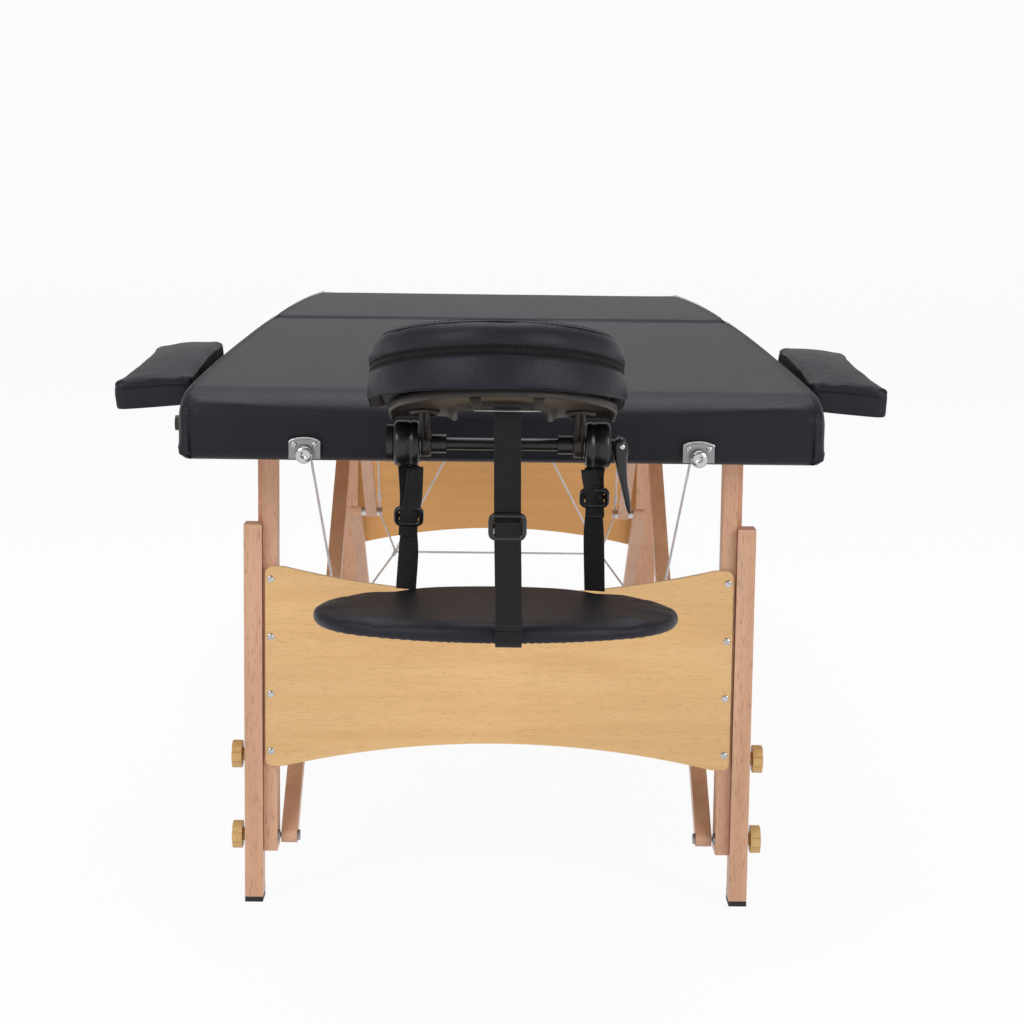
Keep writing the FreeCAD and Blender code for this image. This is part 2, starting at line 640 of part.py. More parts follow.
elbow_point = (elbow_y, elbow_z)
low_point = (brace_low_y, D["brace_low"])
lower_brace = brace("lower_brace", lower_inner, (low_point, elbow_point), (low_point,))
lower_pair = group("lower_pair", lower_brace, mirror("lower_brace_left", lower_brace, "x"))
keep("head_lower_braces", lower_pair)
keep("foot_lower_braces", mirror("foot_lower_braces", lower_pair, "y"))
upper_ends = (elbow_point, (spring_y, spring_z))
upper_brace = brace("upper_brace", upper_inner, upper_ends, upper_ends)
upper_pair = group("upper_pair", upper_brace, mirror("upper_brace_left", upper_brace, "x"))
keep("head_upper_braces", upper_pair)
keep("foot_upper_braces", mirror("foot_upper_braces", upper_pair, "y"))
clamp_x = upper_inner - D["clamp_length"]
elbow = fuse("elbow",
             round_bar("elbow_shank", "x", clamp_x, lower_inner - 0.3, elbow_y, elbow_z,
                       D["bolt_radius"]),
             round_bar("elbow_clamp", "x", clamp_x, upper_inner, elbow_y, elbow_z,
                       D["clamp_radius"]),
             round_bar("elbow_spacer", "x", upper_inner + D["brace_thick"], lower_inner - 0.3,
                       elbow_y, elbow_z,
                       D["clamp_radius"]))
elbow_pair = group("elbow_pair", elbow, mirror("elbow_left", elbow, "x"))
keep("head_elbow_bolts", elbow_pair)
keep("foot_elbow_bolts", mirror("foot_elbow_bolts", elbow_pair, "y"))

# Brace cables: a stay from each leg pivot to its elbow, and the web that joins the elbows under the fold
cable = D["cable_radius"]
clear_clamp = D["clamp_radius"] + 0.3
stay_top = (anchor_x + D["clamp_length"] / 2, leg_y, pivot_z)
elbow_grip = (clamp_x + D["clamp_length"] / 2, elbow_y, elbow_z)
stay = wire_rod("stay", *between(stay_top, elbow_grip, clear_clamp, clear_clamp), cable)
stay_pair = group("stay_pair", stay, mirror("stay_left", stay, "x"))
junction = (D["junction_x"], fold, D["junction_z"])
apex = (D["apex_x"], leaf_back + D["rail_thick"] / 2, bottom)
ferrule = doc.addObject("Part::Sphere", "ferrule")
bind(ferrule, Radius=D["ferrule_radius"])
place(ferrule, *junction)
web_side = fuse("web_side",
                wire_rod("web_run", *between(junction, elbow_grip, 0, clear_clamp), cable),
                wire_rod("web_riser", *between(junction, apex, 0, 1), cable), ferrule)
cross = round_bar("web_cross", "x", -D["junction_x"], D["junction_x"], fold, D["junction_z"], cable)
web = fuse("web", web_side, mirror("web_side_left", web_side, "x"), cross)
keep("head_cables", stay_pair)
keep("foot_cables", mirror("foot_cables", stay_pair, "y"))
foot_run = wire_rod("foot_run", *between(junction, elbow_grip, D["ferrule_radius"] + 0.3, clear_clamp),
                    cable)
foot_runs = group("foot_runs", foot_run, mirror("foot_run_left", foot_run, "x"))
keep("web_cables", group("web_cables", web, mirror("foot_runs_far", foot_runs, "y")))

# Catches for the folded case: studs on the head end, hooks on the foot end
plate_z = bottom - 1
neck_start = end_y - D["latch_plate"]
head_start = neck_start - D["neck_length"]
catch = body("catch_form")
catch_face = sketch_on(catch, "XZ_Plane", "catch_outline", -end_y)
catch_half = D["latch_width"] / 2
arch_radius = (catch_half * catch_half + D["latch_arch"] * D["latch_arch"]) / (D["latch_arch"] * 2)
arch_foot = plate_z + D["latch_height"] - D["latch_arch"]
outline(catch_face, [
    (D["latch_x"] - catch_half, plate_z),
    (D["latch_x"] + catch_half, plate_z),
    (D["latch_x"] + catch_half, arch_foot, arch_radius, 1),
    (D["latch_x"] - catch_half, arch_foot),
])
pad(catch, catch_face, D["latch_plate"])
stud = fuse("stud", catch,
            round_bar("stud_neck", "y", head_start, neck_start, D["latch_x"], stud_z,
                      D["neck_radius"]),
            round_bar("stud_head", "y", head_start - D["stud_head_thick"], head_start, D["latch_x"],
                      stud_z,
                      D["stud_head_radius"]))
keep("head_latch_studs", group("head_latch_studs", stud, mirror("stud_left", stud, "x")))
far_end = fold + D["half_length"]
hook_z = bottom + D["hook_pivot"]
catch_drop = (hook_z - axis_z) + (stud_z - axis_z)
hook_y0 = far_end + D["hook_gap"] - D["hook_thick"] / 2
hook_y1 = hook_y0 + D["hook_thick"]
catch_radius = D["neck_radius"] + 0.6
hook_blank = fuse("hook_blank",
                  box("hook_arm", D["latch_x"] - catch_drop - D["hook_width"] / 2, D["latch_x"], hook_y0,
                      hook_y1,
                      hook_z - D["hook_width"] / 2, hook_z + D["hook_width"] / 2),
                  round_bar("hook_eye", "y", hook_y0, hook_y1, D["latch_x"], hook_z, D["hook_width"] / 2),
                  round_bar("hook_boss", "y", far_end + 0.3, hook_y0, D["latch_x"], hook_z,
                            D["hook_width"] / 2 - 1),
                  round_bar("hook_screw", "y", hook_y1, hook_y1 + 2, D["latch_x"], hook_z,
                            D["head_radius"]))
catch_x = D["latch_x"] - catch_drop
hook_notch = fuse("hook_notch",
                  round_bar("notch_round", "y", hook_y0 - 1, hook_y1 + 1, catch_x, hook_z, catch_radius),
                  box("notch_mouth", catch_x - catch_radius, catch_x + catch_radius, hook_y0 - 1,
                      hook_y1 + 1,
                      hook_z - D["hook_width"], hook_z))
hook = cut("hook", hook_blank, hook_notch)
keep("latch_hook_right", hook)
keep("latch_hook_left", mirror("latch_hook_left", hook, "x"))

# Glides on the side that the folded case stands on, and carry handles on the other
glides = [round_bar("glide", "x", -D["half_width"] - D["glide_height"], -D["half_width"], y, glide_z,
                    D["glide_radius"]) for y in (end_y + D["glide_end"], fold - D["glide_fold"])]
glide_pair = group("glide_pair", *glides)
keep("head_glides", glide_pair)
keep("foot_glides", mirror("foot_glides", glide_pair, "y"))
loop = body("handle_form")
handle_plan = sketch_on(loop, "XY_Plane", "handle_plan", glide_z - D["handle_width"] / 2)
hy1 = fold - D["handle_near"]
hy0 = hy1 - D["handle_span"]
half_span = D["handle_span"] / 2 - D["handle_foot"]
rise_in = D["handle_bow"] - D["handle_thick"]
bow_in = (half_span * half_span + rise_in * rise_in) / (rise_in * 2)
side_x = D["half_width"]
outline(handle_plan, [
    (side_x, hy0),
    (side_x + D["handle_thick"], hy0),
    (side_x + D["handle_thick"], hy0 + D["handle_foot"], bow_in, 1),
    (side_x + D["handle_thick"], hy1 - D["handle_foot"]),
    (side_x + D["handle_thick"], hy1),
    (side_x, hy1),
    (side_x, hy1 - D["handle_foot"] - D["handle_thick"], bow_in, -1),
    (side_x, hy0 + D["handle_foot"] + D["handle_thick"]),
])
pad(loop, handle_plan, D["handle_width"])
keep("head_handle", loop)
keep("foot_handle", mirror("foot_handle", loop, "y"))

# Face cradle: pegs and clamp rod, knuckles, tilting plate, pad and cam lever
peg = round_bar("peg", "y", cradle_y + D["rod_radius"] + 6, end_y + D["peg_inside"], D["peg_x"],
                peg_z,
                D["peg_radius"])
knuckle_in = D["peg_x"] - D["knuckle_width"] / 2
knuckle_out = D["peg_x"] + D["knuckle_width"] / 2
arm_in = knuckle_in - D["running_gap"] - D["arm_width"]
collar_out = arm_in - D["running_gap"]
rod_pieces = [
    round_bar("clamp_bar", "x", -D["rod_half"], D["lever_x"] + 4, cradle_y, cradle_z,
              D["rod_radius"]),
    round_bar("collar_right", "x", collar_out - D["collar_length"], collar_out, cradle_y, cradle_z,
              D["collar_radius"]),
    round_bar("collar_left", "x", -collar_out, D["collar_length"] - collar_out, cradle_y, cradle_z,
              D["collar_radius"]),
    round_bar("end_cap", "x", -knuckle_out - 0.3 - D["cap_thick"], -knuckle_out - 0.3, cradle_y,
              cradle_z,
              D["cap_radius"]),
]
lever_hole = round_bar("lever_hole", "y", cradle_y - D["lever_width"], cradle_y + D["lever_width"],
                       D["lever_x"],
                       cradle_z, D["lever_pin_radius"] + D["bolt_play"])
clamp_rod = cut("clamp_rod", fuse("clamp_rod_solid", *rod_pieces), lever_hole)
keep("cradle_rods", group("cradle_rods", peg, mirror("peg_left", peg, "x"), clamp_rod))
knuckle = cut("knuckle",
              round_bar("knuckle_disc", "x", knuckle_in, knuckle_out, cradle_y, cradle_z,
                        D["knuckle_radius"]),
              round_bar("knuckle_rod_bore", "x", knuckle_in - 1, knuckle_out + 1, cradle_y, cradle_z,
                        D["rod_radius"] + D["bolt_play"]),
              round_bar("knuckle_peg_bore", "y", cradle_y + D["rod_radius"] + 5.5,
                        cradle_y + D["knuckle_radius"] + 1,
                        D["peg_x"], peg_z, D["peg_radius"] + D["bolt_play"]))
keep("cradle_knuckles", group("cradle_knuckles", knuckle, mirror("knuckle_left", knuckle, "x")))


def horseshoe(sketch, radius, hole, rear):
    """Round at the front, open towards the table; drawn about the tilt axis."""
    centre = -D["plate_centre"]
    outline(sketch, [
        (radius, rear),
        (radius, centre, radius, -1),
        (ZERO, centre - radius, radius, -1),
        (-radius, centre),
        (-radius, rear),
        (-hole, rear),
        (-hole, centre, hole, 1),
        (ZERO, centre - hole, hole, 1),
        (hole, centre),
        (hole, rear),
    ])
    return sketch


def tilted(owner):
    place(owner, 0, cradle_y, cradle_z)
    return turn_about_x(owner, -D["tilt"])


plate = body("plate_form")
plate_face = horseshoe(sketch_on(plate, "XY_Plane", "plate_outline", D["plate_rise"]), D["plate_radius"],
                       D["plate_hole"], D["plate_rear"])
slot_y = D["slot_in"] - D["plate_centre"] - D["plate_radius"]
slot_half = D["strap_width"] / 2 + 1
outline(plate_face, [
    (-slot_half, slot_y), (slot_half, slot_y), (slot_half, slot_y + 6), (-slot_half, slot_y + 6),
])
pad(plate, plate_face, D["plate_thick"])
for side, start in (("right", arm_in), ("left", -arm_in - D["arm_width"])):
    arm = sketch_on(plate, "YZ_Plane", "arm_" + side, start)
    outline(arm, [
        (-D["arm_radius"], D["plate_rise"] + 1),
        (-D["arm_radius"], ZERO, D["arm_radius"], 1),
        (ZERO, -D["arm_radius"], D["arm_radius"], 1),
        (D["arm_radius"], ZERO),
        (D["arm_radius"], D["plate_rise"] + 1),
    ])
    circle(arm, ZERO, ZERO, D["rod_radius"] + 0.4)
    pad(plate, arm, D["arm_width"])
keep("cradle_plate", tilted(plate))

cushion = body("face_pad_form")
cushion_face = horseshoe(sketch_on(cushion, "XY_Plane", "pad_outline",
                                   D["plate_rise"] + D["plate_thick"] + D["pad_gap"]),
                         D["pad_radius"], D["pad_hole"], D["pad_rear"])
cushion_pad = pad(cushion, cushion_face, D["pad_thick"])
round_edges(cushion, cushion_pad, D["pad_round"], lambda edge: True)
keep("face_pad", tilted(cushion))

lever_y0 = cradle_y - D["lever_width"] / 2
lever_y1 = cradle_y + D["lever_width"] / 2
handle_bar = doc.addObject("Part::Box", "lever_bar")
bind(handle_bar, Length=D["lever_thick"], Width=D["lever_width"] - 8, Height=D["lever_length"])
handle_bar.Placement.Rotation = FreeCAD.Rotation(FreeCAD.Vector(0, 1, 0), 10)
handle_bar.setExpression("Placement.Rotation.Angle", (size(180) - D["lever_lean"]).text)
place(handle_bar, D["lever_x"] + D["lever_thick"] / 2, lever_y0 + 4, cradle_z)
lever_blank = fuse("lever_blank", handle_bar,
                   round_bar("lever_boss_disc", "y", lever_y0, lever_y1, D["lever_x"], cradle_z,
                             D["lever_boss"]))
way = D["rod_radius"] + 0.6
lever_slot = box("lever_slot", knuckle_out - 20, D["lever_x"] + D["lever_boss"] + 1, cradle_y - way,
                 cradle_y + way, cradle_z - D["lever_boss"] - 0.3, cradle_z + D["slot_open"])
lever_pin = round_bar("lever_pin", "y", lever_y0, lever_y1, D["lever_x"], cradle_z,
                      D["lever_pin_radius"])
keep("cam_lever", fuse("cam_lever", cut("lever_forked", lever_blank, lever_slot), lever_pin))

# Arm shelf on its three straps
shelf_y = end_y - D["shelf_out"]
shelf = body("shelf_form")
shelf_plan = sketch_on(shelf, "XY_Plane", "shelf_plan", shelf_top - D["shelf_thick"])
end_r = D["shelf_end"]
end_x = D["shelf_half"] - end_r
flat_r = (D["shelf_half"] * D["shelf_half"] - D["shelf_half"] * end_r * 2
          + D["shelf_depth_half"] * D["shelf_depth_half"]) / ((D["shelf_depth_half"] - end_r) * 2)
join_x = end_x + end_r * end_x / (flat_r - end_r)
join_y = end_r * (flat_r - D["shelf_depth_half"]) / (flat_r - end_r)
outline(shelf_plan, [
    (join_x, shelf_y - join_y, end_r, 1),
    (join_x, shelf_y + join_y, flat_r, 1),
    (-join_x, shelf_y + join_y, end_r, 1),
    (-join_x, shelf_y - join_y, flat_r, 1),
])
shelf_pad = pad(shelf, shelf_plan, D["shelf_thick"])
round_edges(shelf, shelf_pad, D["shelf_round"],
            lambda edge: len({round(v.Z, 3) for v in edge.Vertexes}) == 1)
keep("arm_shelf", shelf)
strap_half = D["strap_width"] / 2
rear_edge = shelf_y + D["shelf_depth_half"] - flat_r + root(flat_r * flat_r - D["peg_x"] * D["peg_x"])
side_top = (cradle_y + 6, cradle_z - D["knuckle_radius"] + 0.3)
side_low = (rear_edge - D["shelf_round"] - 1, shelf_top + 0.8)
lean_s = sine(D["tilt"])
lean_c = cosine(D["tilt"])
slot_mid = slot_y + 3
front_top = (cradle_y + slot_mid * lean_c + D["plate_rise"] * lean_s,
             cradle_z - slot_mid * lean_s + D["plate_rise"] * lean_c - 0.7)
front_low = (shelf_y - D["shelf_depth_half"] - 1.4, shelf_top - D["shelf_thick"] + 1)


def strap_run(name, x, top, low):
    """A flat strap with a slider round it."""
    web = flat_bar(name, x - strap_half, x + strap_half, top, low, D["strap_thick"])
    mid = [(size(a) + b) / 2 for a, b in zip(top, low)]
    run = [size(b) - a for a, b in zip(top, low)]
    reach = root(run[0] * run[0] + run[1] * run[1])
    step = [d * D["slider_length"] / reach / 2 for d in run]
    ends = [m - s for m, s in zip(mid, step)], [m + s for m, s in zip(mid, step)]
    past = [m - s * 3 for m, s in zip(mid, step)], [m + s * 3 for m, s in zip(mid, step)]
    block = flat_bar(name + "_slider", x - D["slider_width"] / 2, x + D["slider_width"] / 2, ends[0],
                     ends[1],
                     D["slider_thick"])
    way_through = flat_bar(name + "_way", x - strap_half - 0.4, x + strap_half + 0.4, past[0], past[1],
                           D["strap_thick"] + 0.8)
    return web, cut(name + "_buckle", block, way_through)


straps = strap_run("strap_front", ZERO, front_top, front_low)
side_straps = strap_run("strap_side", D["peg_x"], side_top, side_low)
straps += side_straps + tuple(mirror("strap_side_left", piece, "x") for piece in side_straps)
keep("shelf_straps", group("shelf_straps", *straps))

# Side armrests on two pegs each
rest = body("armrest_form")
rest_in = D["half_width"] + D["rest_gap"]
rest_out = rest_in + D["rest_width"]
rest_y0 = end_y + D["rest_start"]
rest_y1 = rest_y0 + D["rest_length"]
rest_top = rest_low + D["rest_rear"]
half_rest = D["rest_length"] / 2
waist_radius = (half_rest * half_rest + D["rest_waist"] * D["rest_waist"]) / (D["rest_waist"] * 2)
rest_plan = sketch_on(rest, "XY_Plane", "armrest_plan", rest_low)
outline(rest_plan, [
    (rest_in, rest_y0),
    (rest_out, rest_y0, waist_radius, -1),
    (rest_out, rest_y1),
    (rest_in, rest_y1),
])
pad(rest, rest_plan, D["rest_rear"])
slope = sketch_on(rest, "YZ_Plane", "armrest_slope", rest_out + 1)
outline(slope, [
    (rest_y0 - 1, rest_low + D["rest_front"]),
    (rest_y1 - D["rest_crest"], rest_top),
    (rest_y1 - D["rest_crest"], rest_top + 1),
    (rest_y0 - 1, rest_top + 1),
])
wedge = rest.newObject("PartDesign::Pocket", "armrest_wedge")
wedge.Profile = slope
wedge.setExpression("Length", (D["rest_width"] + 2).text)


def above_the_board(edge):
    crest = all(abs(v.Y - (rest_y1 - D["rest_crest"]).number) < 0.01 for v in edge.Vertexes)
    return edge.CenterOfMass.z > rest_low.number + 1 and not crest


round_edges(rest, wedge, D["rest_round"], above_the_board)
droop_s = sine(D["rest_droop"])
droop_c = cosine(D["rest_droop"])
rest.Placement.Rotation = FreeCAD.Rotation(FreeCAD.Vector(0, 1, 0), 10)
rest.setExpression("Placement.Rotation.Angle", D["rest_droop"].text)
place(rest, rest_in - rest_in * droop_c - rest_low * droop_s, 0,
      rest_low + rest_in * droop_s - rest_low * droop_c)
rest_bores = [round_bar("rest_bore", "x", rest_in - 1, rest_in + D["rest_peg_reach"] + 1, y,
                        rest_peg_z,
                        D["rest_peg_radius"] + D["bolt_play"]) for y in rest_peg_y]
armrest = cut("armrest", rest, *rest_bores)
keep("armrest_right", group("armrest_right", armrest))
keep("armrest_left", mirror("armrest_left", armrest, "x"))
rest_pegs = [round_bar("rest_peg", "x", bay_half - D["rail_thick"] / 3, rest_in + D["rest_peg_reach"], y,
                       rest_peg_z,
                       D["rest_peg_radius"]) for y in rest_peg_y]
peg_pair = group("armrest_pegs_right", *rest_pegs)
keep("armrest_pegs_right", peg_pair)
keep("armrest_pegs_left", mirror("armrest_pegs_left", peg_pair, "x"))

doc.recompute()
for thing in doc.Objects:
    if "Invalid" in thing.State or "Error" in thing.State:
        raise RuntimeError("%s did not build: %s" % (thing.Label, thing.State))

os.makedirs("parts", exist_ok=True)
for label, thing in NODES:
    if thing.Shape.isNull() or not thing.Shape.isValid() or thing.Shape.Volume <= 0:
        raise RuntimeError("%s has no valid solid" % label)
    thing.Shape.exportStep("parts/%s.step" % label)
    low = thing.Shape.BoundBox
    print("%-22s %2d solids  x %7.1f %7.1f  y %8.1f %8.1f  z %6.1f %6.1f" % (
        label, len(thing.Shape.Solids), low.XMin, low.XMax, low.YMin, low.YMax, low.ZMin, low.ZMax))

# Axes for the joints, in millimetres
for name, value in (("fold_y", fold), ("axis_z", axis_z), ("leg_y", leg_y), ("pivot_z", pivot_z),
                    ("spring_y", spring_y),
                    ("elbow_y", elbow_y), ("elbow_z", elbow_z), ("bolt_y", bolt_y),
                    ("knob_high", knob_high),
                    ("cradle_y", cradle_y), ("far_end", far_end), ("hook_z", hook_z), ("end_y", end_y),
                    ("tube_in", tube_in), ("tube_out", tube_out), ("tube_front", tube_front),
                    ("tube_back", tube_back),
                    ("shelf_y", shelf_y), ("bottom", bottom),
                    ("shut_angle", arctan(open_rise / open_run))):
    print("%s = %.4f" % (name, value.number))
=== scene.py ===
"""Looks of the folding massage table: upholstery, straps, hardware, materials, light and camera."""

import math

import bpy
import numpy as np
from mathutils import Matrix, Vector, noise


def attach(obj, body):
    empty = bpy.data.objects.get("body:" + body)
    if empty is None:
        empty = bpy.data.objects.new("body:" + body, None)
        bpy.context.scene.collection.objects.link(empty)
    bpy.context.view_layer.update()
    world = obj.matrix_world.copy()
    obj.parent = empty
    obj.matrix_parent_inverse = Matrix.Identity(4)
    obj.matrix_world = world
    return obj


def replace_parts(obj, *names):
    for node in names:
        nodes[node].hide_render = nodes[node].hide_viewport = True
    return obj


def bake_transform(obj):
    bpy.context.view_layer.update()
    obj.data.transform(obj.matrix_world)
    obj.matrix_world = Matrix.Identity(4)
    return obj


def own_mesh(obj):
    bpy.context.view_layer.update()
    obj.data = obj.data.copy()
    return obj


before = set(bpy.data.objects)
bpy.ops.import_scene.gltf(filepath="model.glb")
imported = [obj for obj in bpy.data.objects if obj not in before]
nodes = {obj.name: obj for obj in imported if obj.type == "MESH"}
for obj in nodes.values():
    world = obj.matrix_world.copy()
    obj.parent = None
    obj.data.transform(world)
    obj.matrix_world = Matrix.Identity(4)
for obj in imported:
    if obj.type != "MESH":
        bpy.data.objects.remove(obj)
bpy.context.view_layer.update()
scene = bpy.context.scene

FOLD_Y = 0.1325
END_Y = -0.7975
CRADLE_Y = -0.9025
CRADLE_Z = 0.557
PAD_LOW = 30.2
PAD_SIDE = -6.0
TILT = math.radians(15)
TAU = 2 * math.pi
NONE = (0, 0, 0)


# ---------------------------------------------------------------- shaders
class Shader:
    """A Principled material that is put together from procedural textures."""

    def __init__(self, name, **values):
        self.material = bpy.data.materials.new(name)
        self.material.use_nodes = True
        self.tree = self.material.node_tree
        self.bsdf = self.tree.nodes["Principled BSDF"]
        for socket, value in values.items():
            self.bsdf.inputs[socket.replace("_", " ").title().replace("Ior", "IOR")].default_value = value

    def node(self, kind, **settings):
        made = self.tree.nodes.new("ShaderNode" + kind)
        for key, value in settings.items():
            setattr(made, key, value)
        return made

    def link(self, out, into):
        self.tree.links.new(out, into)

    def coords(self, scale=(1, 1, 1), turn=(0, 0, 0), kind="Object"):
        mapping = self.node("Mapping")
        mapping.inputs["Scale"].default_value = scale
        mapping.inputs["Rotation"].default_value = turn
        self.link(self.node("TexCoord").outputs[kind], mapping.inputs["Vector"])
        return mapping.outputs["Vector"]

    def noise(self, vector, scale, detail=3.0, rough=0.55, distortion=0.0):
        texture = self.node("TexNoise")
        self.link(vector, texture.inputs["Vector"])
        for key, value in (("Scale", scale), ("Detail", detail), ("Roughness", rough),
                           ("Distortion", distortion)):
            texture.inputs[key].default_value = value
        return texture.outputs[0]

    def cells(self, vector, scale, smooth=0.6):
        texture = self.node("TexVoronoi", feature="SMOOTH_F1")
        self.link(vector, texture.inputs["Vector"])
        texture.inputs["Scale"].default_value = scale
        texture.inputs["Smoothness"].default_value = smooth
        return texture.outputs["Distance"]

    def wave(self, vector, scale, direction="X", distortion=0.0):
        texture = self.node("TexWave", bands_direction=direction)
        self.link(vector, texture.inputs["Vector"])
        texture.inputs["Scale"].default_value = scale
        texture.inputs["Distortion"].default_value = distortion
        return texture.outputs["Fac"]

    def ramp(self, value, *stops):
        made = self.node("ValToRGB")
        elements = made.color_ramp.elements
        while len(elements) < len(stops):
            elements.new(0.5)
        for element, (place, colour) in zip(elements, stops):
            element.position = place
            element.color = (*colour, 1)
        self.link(value, made.inputs["Fac"])
        return made.outputs["Color"]

    def mix(self, factor, a, b):
        made = self.node("Mix", data_type="RGBA")
        for socket, value in ((made.inputs[0], factor), (made.inputs[6], a), (made.inputs[7], b)):
            if isinstance(value, bpy.types.NodeSocket):
                self.link(value, socket)
            else:
                socket.default_value = value
        return made.outputs[2]

    def spread(self, value, low, high):
        made = self.node("MapRange")
        self.link(value, made.inputs["Value"])
        made.inputs["To Min"].default_value = low
        made.inputs["To Max"].default_value = high
        return made.outputs["Result"]

    def maths(self, how, a, b=None):
        made = self.node("Math", operation=how)
        for socket, value in zip(made.inputs, (a, b)):
            if isinstance(value, bpy.types.NodeSocket):
                self.link(value, socket)
            elif value is not None:
                socket.default_value = value
        return made.outputs[0]

    def colour(self, out):
        self.link(out, self.bsdf.inputs["Base Color"])

    def roughness(self, out):
        self.link(out, self.bsdf.inputs["Roughness"])

    def bump(self, *layers):
        """Stacks (height, strength, distance) bumps."""
        before = None
        for height, strength, distance in layers:
            made = self.node("Bump")
            made.inputs["Strength"].default_value = strength
            made.inputs["Distance"].default_value = distance
            self.link(height, made.inputs["Height"])
            if before is not None:
                self.link(before, made.inputs["Normal"])
            before = made.outputs["Normal"]
        self.link(before, self.bsdf.inputs["Normal"])


def vinyl(name, dark, light, rough=(0.43, 0.50), grain=1.0):
    s = Shader(name, ior=1.46, specular_ior_level=0.32, specular_tint=(0.88, 0.86, 1.0, 1))
    at = s.coords()
    s.colour(s.ramp(s.noise(at, 7, 4), (0.35, dark), (0.70, light)))
    s.roughness(s.spread(s.noise(at, 38, 5), *rough))
    s.bump((s.noise(at, 22, 2), 0.02, 0.0010), (s.cells(at, 560), 0.55 * grain, 0.00042),
           (s.noise(at, 1900, 2), 0.10 * grain, 0.0002))
    return s.material


def wood(name, along, stops, fleck, scale=1.0, turn=(0, 0, 0), rough=(0.36, 0.50), coat=0.12, edge=None,
         marks=0.5):
    """Straight-grained beech with short dark flecks that run along one axis."""
    s = Shader(name, coat_weight=coat, coat_roughness=0.28)

    def stretched(run, cross):
        return s.coords([run * scale if axis == along else cross * scale for axis in "xyz"], turn)

    band = s.noise(stretched(1.6, 26), 1.0, 4, 0.6, 0.4)
    fine = s.noise(stretched(9, 330), 1.0, 3, 0.6)
    dash = s.noise(stretched(70, 760), 1.0, 1, 0.4)
    body = s.ramp(band, *stops)
    body = s.mix(s.spread(fine, 0.0, 0.5), body, (*[c * 0.80 for c in stops[0][1]], 1))
    dashes = s.ramp(dash, (0.60, (0, 0, 0)), (0.68, (1, 1, 1)))
    body = s.mix(s.maths("MULTIPLY", dashes, marks), body, (*fleck, 1))
    if edge:
        split = s.node("SeparateXYZ")
        s.link(s.node("TexCoord").outputs["Normal"], split.inputs[0])
        off = s.maths("LESS_THAN", s.maths("ABSOLUTE", split.outputs["Y"]), 0.6)
        body = s.mix(off, body, (*edge, 1))
    s.colour(body)
    s.roughness(s.spread(fine, *rough))
    s.bump((fine, 0.10, 0.0004), (dash, 0.06, 0.0003))
    return s.material


def metal(name, colour, rough):
    """Metal brushed along x."""
    s = Shader(name, metallic=1.0, anisotropic=0.3)
    brushed = s.noise(s.coords((20, 900, 900)), 1.0, 3)
    s.colour(s.ramp(brushed, (0.3, [c * 0.86 for c in colour]), (0.7, colour)))
    s.roughness(s.spread(s.noise(s.coords(), 160, 4), rough * 0.75, rough * 1.3))
    s.bump((brushed, 0.06, 0.0002))
    return s.material


def moulded(name, dark, light, rough, grain=1400, depth=0.16):
    s = Shader(name, specular_ior_level=0.5)
    at = s.coords()
    s.colour(s.ramp(s.noise(at, 24, 4), (0.3, dark), (0.7, light)))
    s.roughness(s.spread(s.noise(at, 90, 4), rough * 0.8, rough * 1.2))
    s.bump((s.noise(at, grain, 2), depth, 0.0003), (s.noise(at, 60, 2), 0.05, 0.0006))
    return s.material


def webbing(name, dark, light, rib=0.0017, sheen=0.10):
    """Ribbed strap; its UV map is in metres, across and along."""
    s = Shader(name, roughness=0.72, specular_ior_level=0.25, sheen_weight=sheen, sheen_roughness=0.4)
    at = s.coords((1 / rib, 1 / rib, 1), kind="UV")
    ribs = s.wave(at, 0.314, "Y", 0.6)
    yarn = s.wave(at, 0.48, "X", 0.4)
    fuzz = s.noise(at, 2.4, 3)
    height = s.maths("ADD", ribs, s.maths("MULTIPLY", yarn, 0.45))
    # Colour follows the rib height: painted shade in the grooves between ribs and a painted highlight on their
    # crests, with random fuzz pulled towards the dark tone.
    s.colour(s.mix(s.maths("MULTIPLY", fuzz, 0.5), s.ramp(ribs, (0.25, dark), (0.85, light)), (*dark, 1)))
    s.bump((height, 0.75, 0.0008), (fuzz, 0.2, 0.0004))
    return s.material


BEECH = [(0.30, (0.640, 0.345, 0.205)), (0.52, (0.720, 0.420, 0.268)), (0.72, (0.775, 0.485, 0.325))]
BOARD = [(0.28, (0.745, 0.440, 0.180)), (0.52, (0.820, 0.515, 0.225)), (0.74, (0.860, 0.570, 0.270))]
FLECK = (0.36, 0.17, 0.085)
BRACE_TURN = math.radians(35.65)

VINYL = vinyl("black_vinyl", (0.0085, 0.0085, 0.0118), (0.0130, 0.0130, 0.0178))
VINYL_UNDER = vinyl("vinyl_underside", (0.006, 0.006, 0.0075), (0.010, 0.010, 0.012), (0.6, 0.75), 0.5)
BEECH_Z = wood("beech_upright", "z", BEECH, FLECK)
BEECH_Y = wood("beech_lengthwise", "y", BEECH, FLECK)
BEECH_HEAD = wood("beech_head_brace", "y", BEECH, FLECK, turn=(-BRACE_TURN, 0, 0))
BEECH_FOOT = wood("beech_foot_brace", "y", BEECH, FLECK, turn=(BRACE_TURN, 0, 0))
BOARD_X = wood("panel_board", "x", BOARD, (0.52, 0.28, 0.095), 1.7, rough=(0.34, 0.46), coat=0.2,
               edge=(0.86, 0.72, 0.52), marks=0.42)
# Far panel: the near board with green and blue turned down and darker flecks and edges, a copy that paints the
# shade and warm bounced light on the far side.
BOARD_SHADED_FAR = wood("far_panel_board", "x", [(at, (r, g * 0.86, b * 0.66)) for at, (r, g, b) in BOARD],
                 (0.50, 0.25, 0.07), 1.7, rough=(0.34, 0.46), coat=0.2, edge=(0.86, 0.70, 0.48), marks=0.42)
DECK = wood("deck_board", "y",
            [(0.3, (0.42, 0.27, 0.14)), (0.5, (0.50, 0.33, 0.18)), (0.7, (0.56, 0.39, 0.22))],
            (0.22, 0.12, 0.06), 0.8, rough=(0.6, 0.8), coat=0.0)
